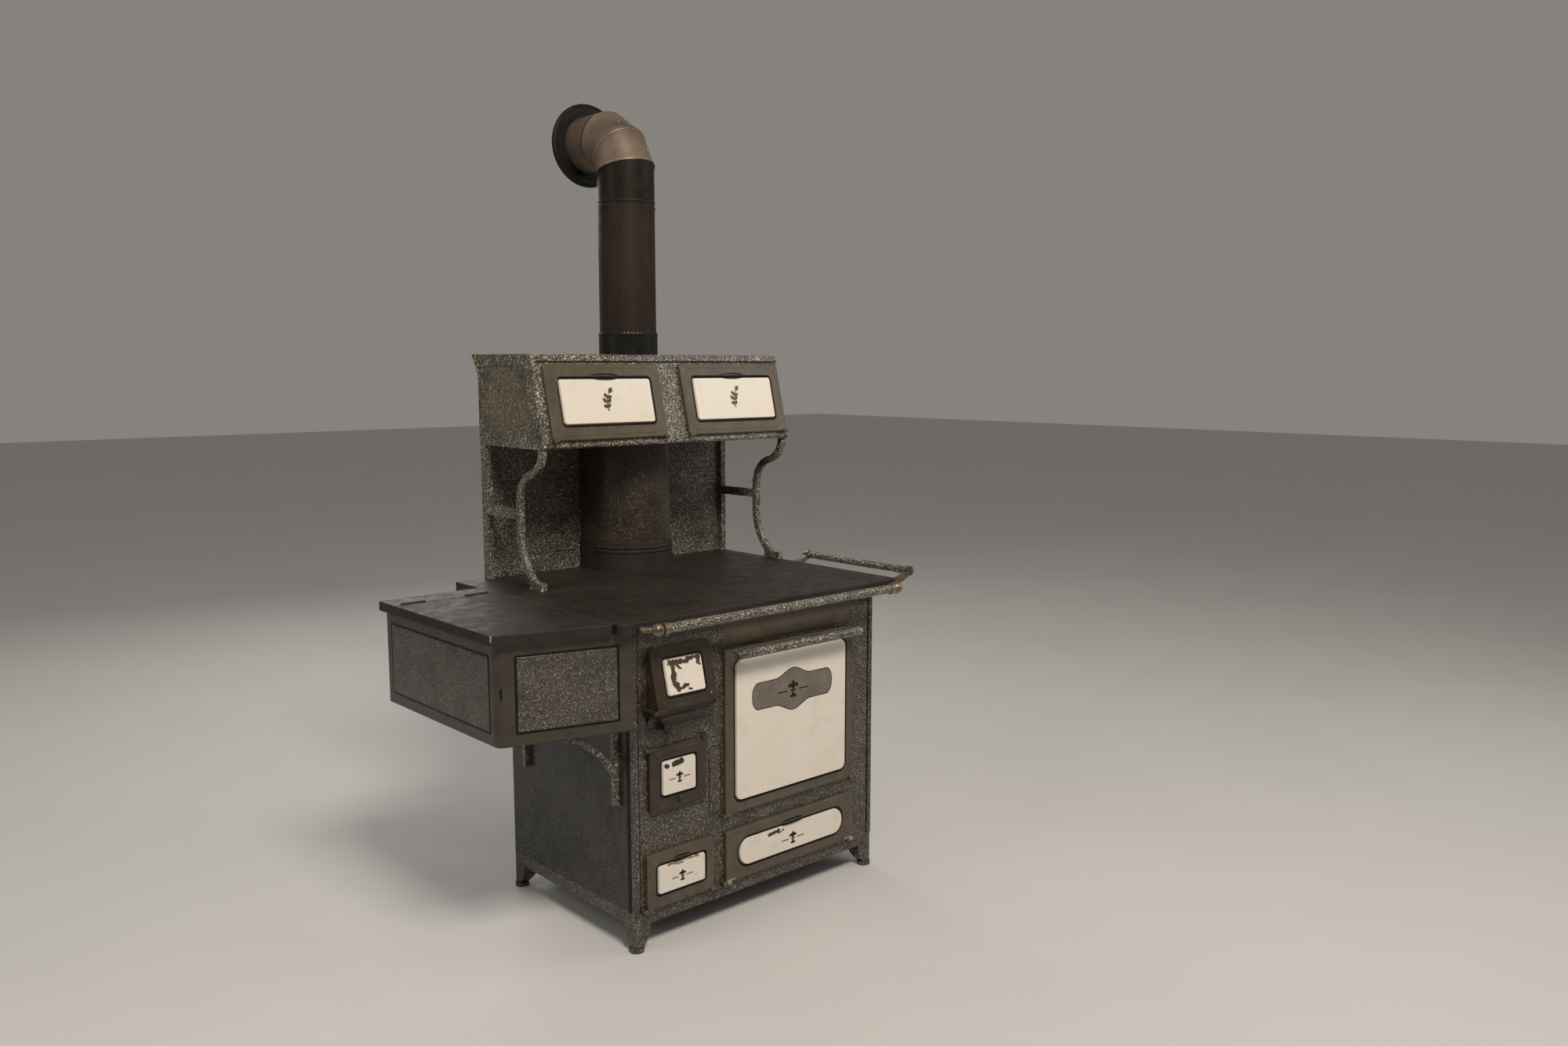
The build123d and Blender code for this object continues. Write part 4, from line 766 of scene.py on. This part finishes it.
SLIM_LEFT, SLIM_RIGHT, SLIM_BOTTOM, SLIM_TOP = -102, -62, 300, 478      # mm
SLIM_LINE = ((0, -1.0, 8), (0, 0, 8), (0.6, 0.3, 7.4))
SLIM_FIELD = ((2.2, -1.0, 5.8), (2.2, 0.6, 5.8), (2.8, 0.9, 5.2))
slim_middle = ((SLIM_LEFT + SLIM_RIGHT) / 2 * MM, face, (SLIM_BOTTOM + SLIM_TOP) / 2 * MM)
slim_place = facing(Vector((1, 0, 0)), Vector(UP), Vector(OUT), slim_middle)
for label, profile, material, slot in (("line", SLIM_LINE, lining_black, "grey_enamel"),
                                       ("field", SLIM_FIELD, enamel_front, "speckled_enamel")):
    raised(f"front_slim_panel_{label}", slim_place, SLIM_RIGHT - SLIM_LEFT, SLIM_TOP - SLIM_BOTTOM,
           profile, material)

SIDE_STRIP = ((0.7, 0), (0.7, 13), (0, 13), (0, 0))
strip_y = side_low.y + END_GAP
for name, x, outward in (("left", side_low.x, -1), ("right", right_high.x, 1)):
    bar(f"side_strip_{name}", (x, strip_y, side_low.z + END_GAP), (x, strip_y, side_high.z - END_GAP),
        SIDE_STRIP, (outward, 0, 0), INTO, lining_black)


# Stovepipe: lengthwise seams, the collar's crimped end, beads and screws; the wall collar's rim
# and flutes

SEAM = ((-5, -0.5), (-4.6, 0.9), (-3.8, 1.5), (3.8, 1.5), (4.6, 0.9), (5, -0.5))      # round, out
pipe_r = (pipe_high.x - pipe_low.x) / 2
ring_low, ring_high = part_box("pipe_collar")


def seam(name, bottom, top, radius, turn):
    """A folded lock seam up a pipe, at a turn in degrees."""
    mesh = bmesh.new()
    rings = []
    for z in (bottom, top):
        line = []
        for around, rise in SEAM:
            angle = math.radians(turn) + around * MM / radius
            reach = radius + rise * MM
            line.append(Vector((axis_x + reach * math.cos(angle), axis_y + reach * math.sin(angle), z)))
        rings.append(line)
    loft(mesh, rings, caps=True)
    piece(name, mesh, pipe, ROOT)


seam("pipe_seam", pipe_low.z + 2 * MM, pipe_high.z - 2 * MM, pipe_r, -62)
seam("collar_seam", ring_low.z + 2 * MM, ring_high.z - 2 * MM, pipe_r + 3 * MM, -48)


def turned(name, profile, centre, axis, material, steps=96, wave=0, waves=0):
    """A turned ring: (radius, along) points round an axis through centre. A wave ripples its radius."""
    axis = Vector(axis).normalized()
    side = axis.orthogonal().normalized()
    other = axis.cross(side)
    mesh = bmesh.new()
    rings = []
    for step in range(steps):
        angle = 2 * math.pi * step / steps
        swell = wave * math.cos(waves * angle)
        out = side * math.cos(angle) + other * math.sin(angle)
        rings.append([Vector(centre) + out * (r + swell) * MM + axis * along * MM for r, along in profile])
    loft(mesh, rings, loop=True)
    piece(name, mesh, material, ROOT)


R = pipe_r / MM
GORE = 15                       # degrees, half an elbow's gore
BEAD_AWAY = 4.6                 # mm from a joint
turned("collar_crimp", [(R - 1, 0), (R + 2.2, 0.0), (R + 3.4, 6), (R + 1.6, 12), (R - 1, 12)],
       (axis_x, axis_y, ring_high.z - 7 * MM), UP, collar_black, 240, 0.7, 48)
turned("elbow_foot_bead", [(R - 1, -3), (R + 0.6, -3), (R + 1.6, 0), (R + 0.6, 3), (R - 1, 3)],
       (axis_x, axis_y, elbow_low.z + 9 * MM), UP, pipe)
bright_steel = iron("bright_steel", (0.24, 0.20, 0.165), (0.10, 0.06, 0.035), 0.6, 0.42, 2.0, wear=0.6)
for index, angle in enumerate((GORE, 3 * GORE, 5 * GORE)):
    turn = math.radians(angle)
    reach = BEND / math.cos(math.radians(GORE))
    centre = (axis_x, bend_y - reach * math.cos(turn), bend_z + reach * math.sin(turn))
    for side, along in (("near", -BEAD_AWAY), ("far", BEAD_AWAY)):
        if side == "near" and index == 2:      # the last joint has one bead
            continue
        bead = [(R - 1, along - 1.5), (R + 1.2, along - 1.5), (R + 2.0, along), (R + 1.2, along + 1.5),
                (R - 1, along + 1.5)]
        turned(f"elbow_bead_{index}_{side}", bead, centre, (0, math.sin(turn), math.cos(turn)),
               bright_steel if side == "far" or index else pipe)

SCREW_HEAD = ((1, -0.3), (1, 0.18), (0.82, 0.42), (0.45, 0.58), (0.12, 0.62))      # share of its radius


def screws(name, places, radius, material, body=ROOT):
    """Domed screw heads at (place, outward direction), with a radius in mm."""
    mesh = bmesh.new()
    for place, out in places:
        out = Vector(out).normalized()
        side = out.orthogonal().normalized()
        other = out.cross(side)
        turns = [math.radians(30 * step) for step in range(12)]
        spokes = [side * math.cos(turn) + other * math.sin(turn) for turn in turns]
        rings = [[Vector(place) + (spoke * share + out * rise) * radius * MM for spoke in spokes]
                 for share, rise in SCREW_HEAD]
        loft(mesh, rings, caps=True)
    piece(name, mesh, material, body, 40)


def on_pipe(angle):
    """A place near the stovepipe's top, and the direction out of it there."""
    out = Vector((math.cos(math.radians(angle)), math.sin(math.radians(angle)), 0))
    return Vector((axis_x, axis_y, elbow_low.z - 6 * MM)) + out * pipe_r, out


screws("pipe_screws", [on_pipe(angle) for angle in (-168, -28)], 5, pipe)
gore_screws = []
for angle, around in ((26, -118), (26, -62), (34, -90), (56, -100)):      # up the bend, round the pipe
    turn, round_it = math.radians(angle), math.radians(around)
    inward = Vector((0, -math.cos(turn), math.sin(turn)))
    out = Vector((math.cos(round_it), 0, 0)) - inward * math.sin(round_it)
    middle = Vector((axis_x, bend_y - BEND * math.cos(turn), bend_z + BEND * math.sin(turn)))
    gore_screws.append((middle + out * (pipe_r + 0.2 * MM), out))
screws("elbow_screws", gore_screws, 3.4, bright_steel)

wall_low, wall_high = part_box("wall_collar")
wall_centre = Vector((axis_x, wall_low.y, (wall_low.z + wall_high.z) / 2))
turned("wall_collar_rim", [(112, 0.8), (112.6, -0.8), (115, -1.7), (118, -1.2), (119.4, 0.8)], wall_centre,
       INTO, collar_black)
FLUTES = 72
FLUTE = ((89, 0.9, -0.6), (90.5, 1.5, 1.3), (98.5, 1.7, 1.3), (100, 1.1, -0.6))      # radius, half, rise
FLUTE_ROOT = 0.8
mesh = bmesh.new()
for step in range(FLUTES):
    angle = 2 * math.pi * step / FLUTES
    out = Vector((math.cos(angle), 0, math.sin(angle)))
    side = Vector((-math.sin(angle), 0, math.cos(angle)))
    rings = []
    for radius, half, rise in FLUTE:
        corners = ((half, FLUTE_ROOT), (half, -rise), (-half, -rise), (-half, FLUTE_ROOT))
        rings.append([wall_centre + (out * radius + side * across + Vector(INTO) * depth) * MM
                      for across, depth in corners])
    loft(mesh, rings, caps=True)
piece("wall_collar_flutes", mesh, collar_black, ROOT)


# Bolt holes in the closet, as black domes of painted shade, and screws in the draft door's corners

def touch(node, start, run):
    """Where a line from start meets a node's surface, and the surface's direction there."""
    thing = nodes[node]
    back = thing.matrix_world.inverted()
    hit, place, out, index = thing.ray_cast(back @ Vector(start), back.to_3x3() @ Vector(run))
    return thing.matrix_world @ place, thing.matrix_world.to_3x3() @ out


CLOSET_HOLES = ((-4, 243), (3, 12), (-424, 240), (424, 236))      # mm across and up its front
DRAFT_SCREWS = ((-64, 22), (64, 22), (-64, 139), (64, 139))       # mm, u and v of the door
closet_middle = (closet_low.x + closet_high.x) / 2
before_closet = closet_low.y - 0.3
holes = [touch("closet", (closet_middle + across * MM, before_closet, closet_low.z + up * MM), INTO)
         for across, up in CLOSET_HOLES]
# black domes: painted shade standing for the holes' dark insides
screws("closet_holes_painted_shade", holes, 3, lining_black)
draft = door_frame("draft")
draft_screws = [(draft @ Vector((across * MM, up * MM, 0)), draft.to_3x3() @ Vector((0, 0, 1)))
                for across, up in DRAFT_SCREWS]
screws("draft_door_screws", draft_screws, 4, grey_dark, "draft_door")


# Floor, light and camera

floor_look = Shader("floor", Specular_IOR_Level=0.3)
floor_look.set("Base Color", floor_look.mix(floor_look.noise(1.4, 4), (0.55, 0.55, 0.545),
                                            (0.60, 0.60, 0.595)))
floor_look.set("Roughness", floor_look.ramp(floor_look.noise(5, 3), (0.3, 0.55), (0.7, 0.7)))
FLOOR_HALF = 24
mesh = bmesh.new()
bmesh.ops.create_grid(mesh, x_segments=8, y_segments=8, size=FLOOR_HALF)
floor_mesh = bpy.data.meshes.new("floor")
mesh.to_mesh(floor_mesh)
mesh.free()
floor_mesh.materials.append(floor_look.material)
floor = bpy.data.objects.new("floor", floor_mesh)
bpy.context.scene.collection.objects.link(floor)

KEY, FILL, SIDE, BACK = 185, 26, 22, 45      # watts


def light(name, place, aim, size, power, colour):
    data = bpy.data.lights.new(name, "AREA")
    data.shape = "RECTANGLE"
    data.size, data.size_y = size
    data.energy = power
    data.color = colour
    thing = bpy.data.objects.new(name, data)
    thing.location = place
    thing.rotation_euler = (Vector(aim) - Vector(place)).to_track_quat("-Z", "Y").to_euler()
    bpy.context.scene.collection.objects.link(thing)


light("key", (-1.0, -3.1, 4.3), (0, 0, 1.0), (1.5, 1.1), KEY, (1.0, 0.90, 0.79))
light("fill", (3.4, -2.4, 2.8), (0, 0, 0.9), (2.2, 2.2), FILL, (1.0, 0.95, 0.89))
light("side", (-3.6, 0.6, 2.6), (-0.4, 0, 1.0), (1.8, 2.2), SIDE, (1.0, 0.96, 0.90))
light("back", (0.8, 3.6, 3.0), (0, 0, 1.1), (2.2, 1.6), BACK, (1.0, 0.96, 0.91))

world = bpy.data.worlds.new("studio")
bpy.context.scene.world = world
world.use_nodes = True
sky = world.node_tree.nodes["Background"]
sky.inputs["Color"].default_value = (0.80, 0.76, 0.70, 1)
sky.inputs["Strength"].default_value = 0.30
view = bpy.context.scene.view_settings
view.view_transform = "Standard"
view.look = "None"

LENS = 28.449             # the photo's field of view on a 36 mm wide frame
YAW, PITCH, ROLL = 0.7438, 0.1267, -0.0005
camera = bpy.data.objects.new("camera", bpy.data.cameras.new("camera"))
camera.data.lens = LENS
camera.data.sensor_width = 36
camera.location = (-2.0349, -2.7894, 1.4447)
camera.rotation_euler = (math.pi / 2 - PITCH, ROLL, -YAW)
bpy.context.scene.collection.objects.link(camera)
bpy.context.scene.camera = camera
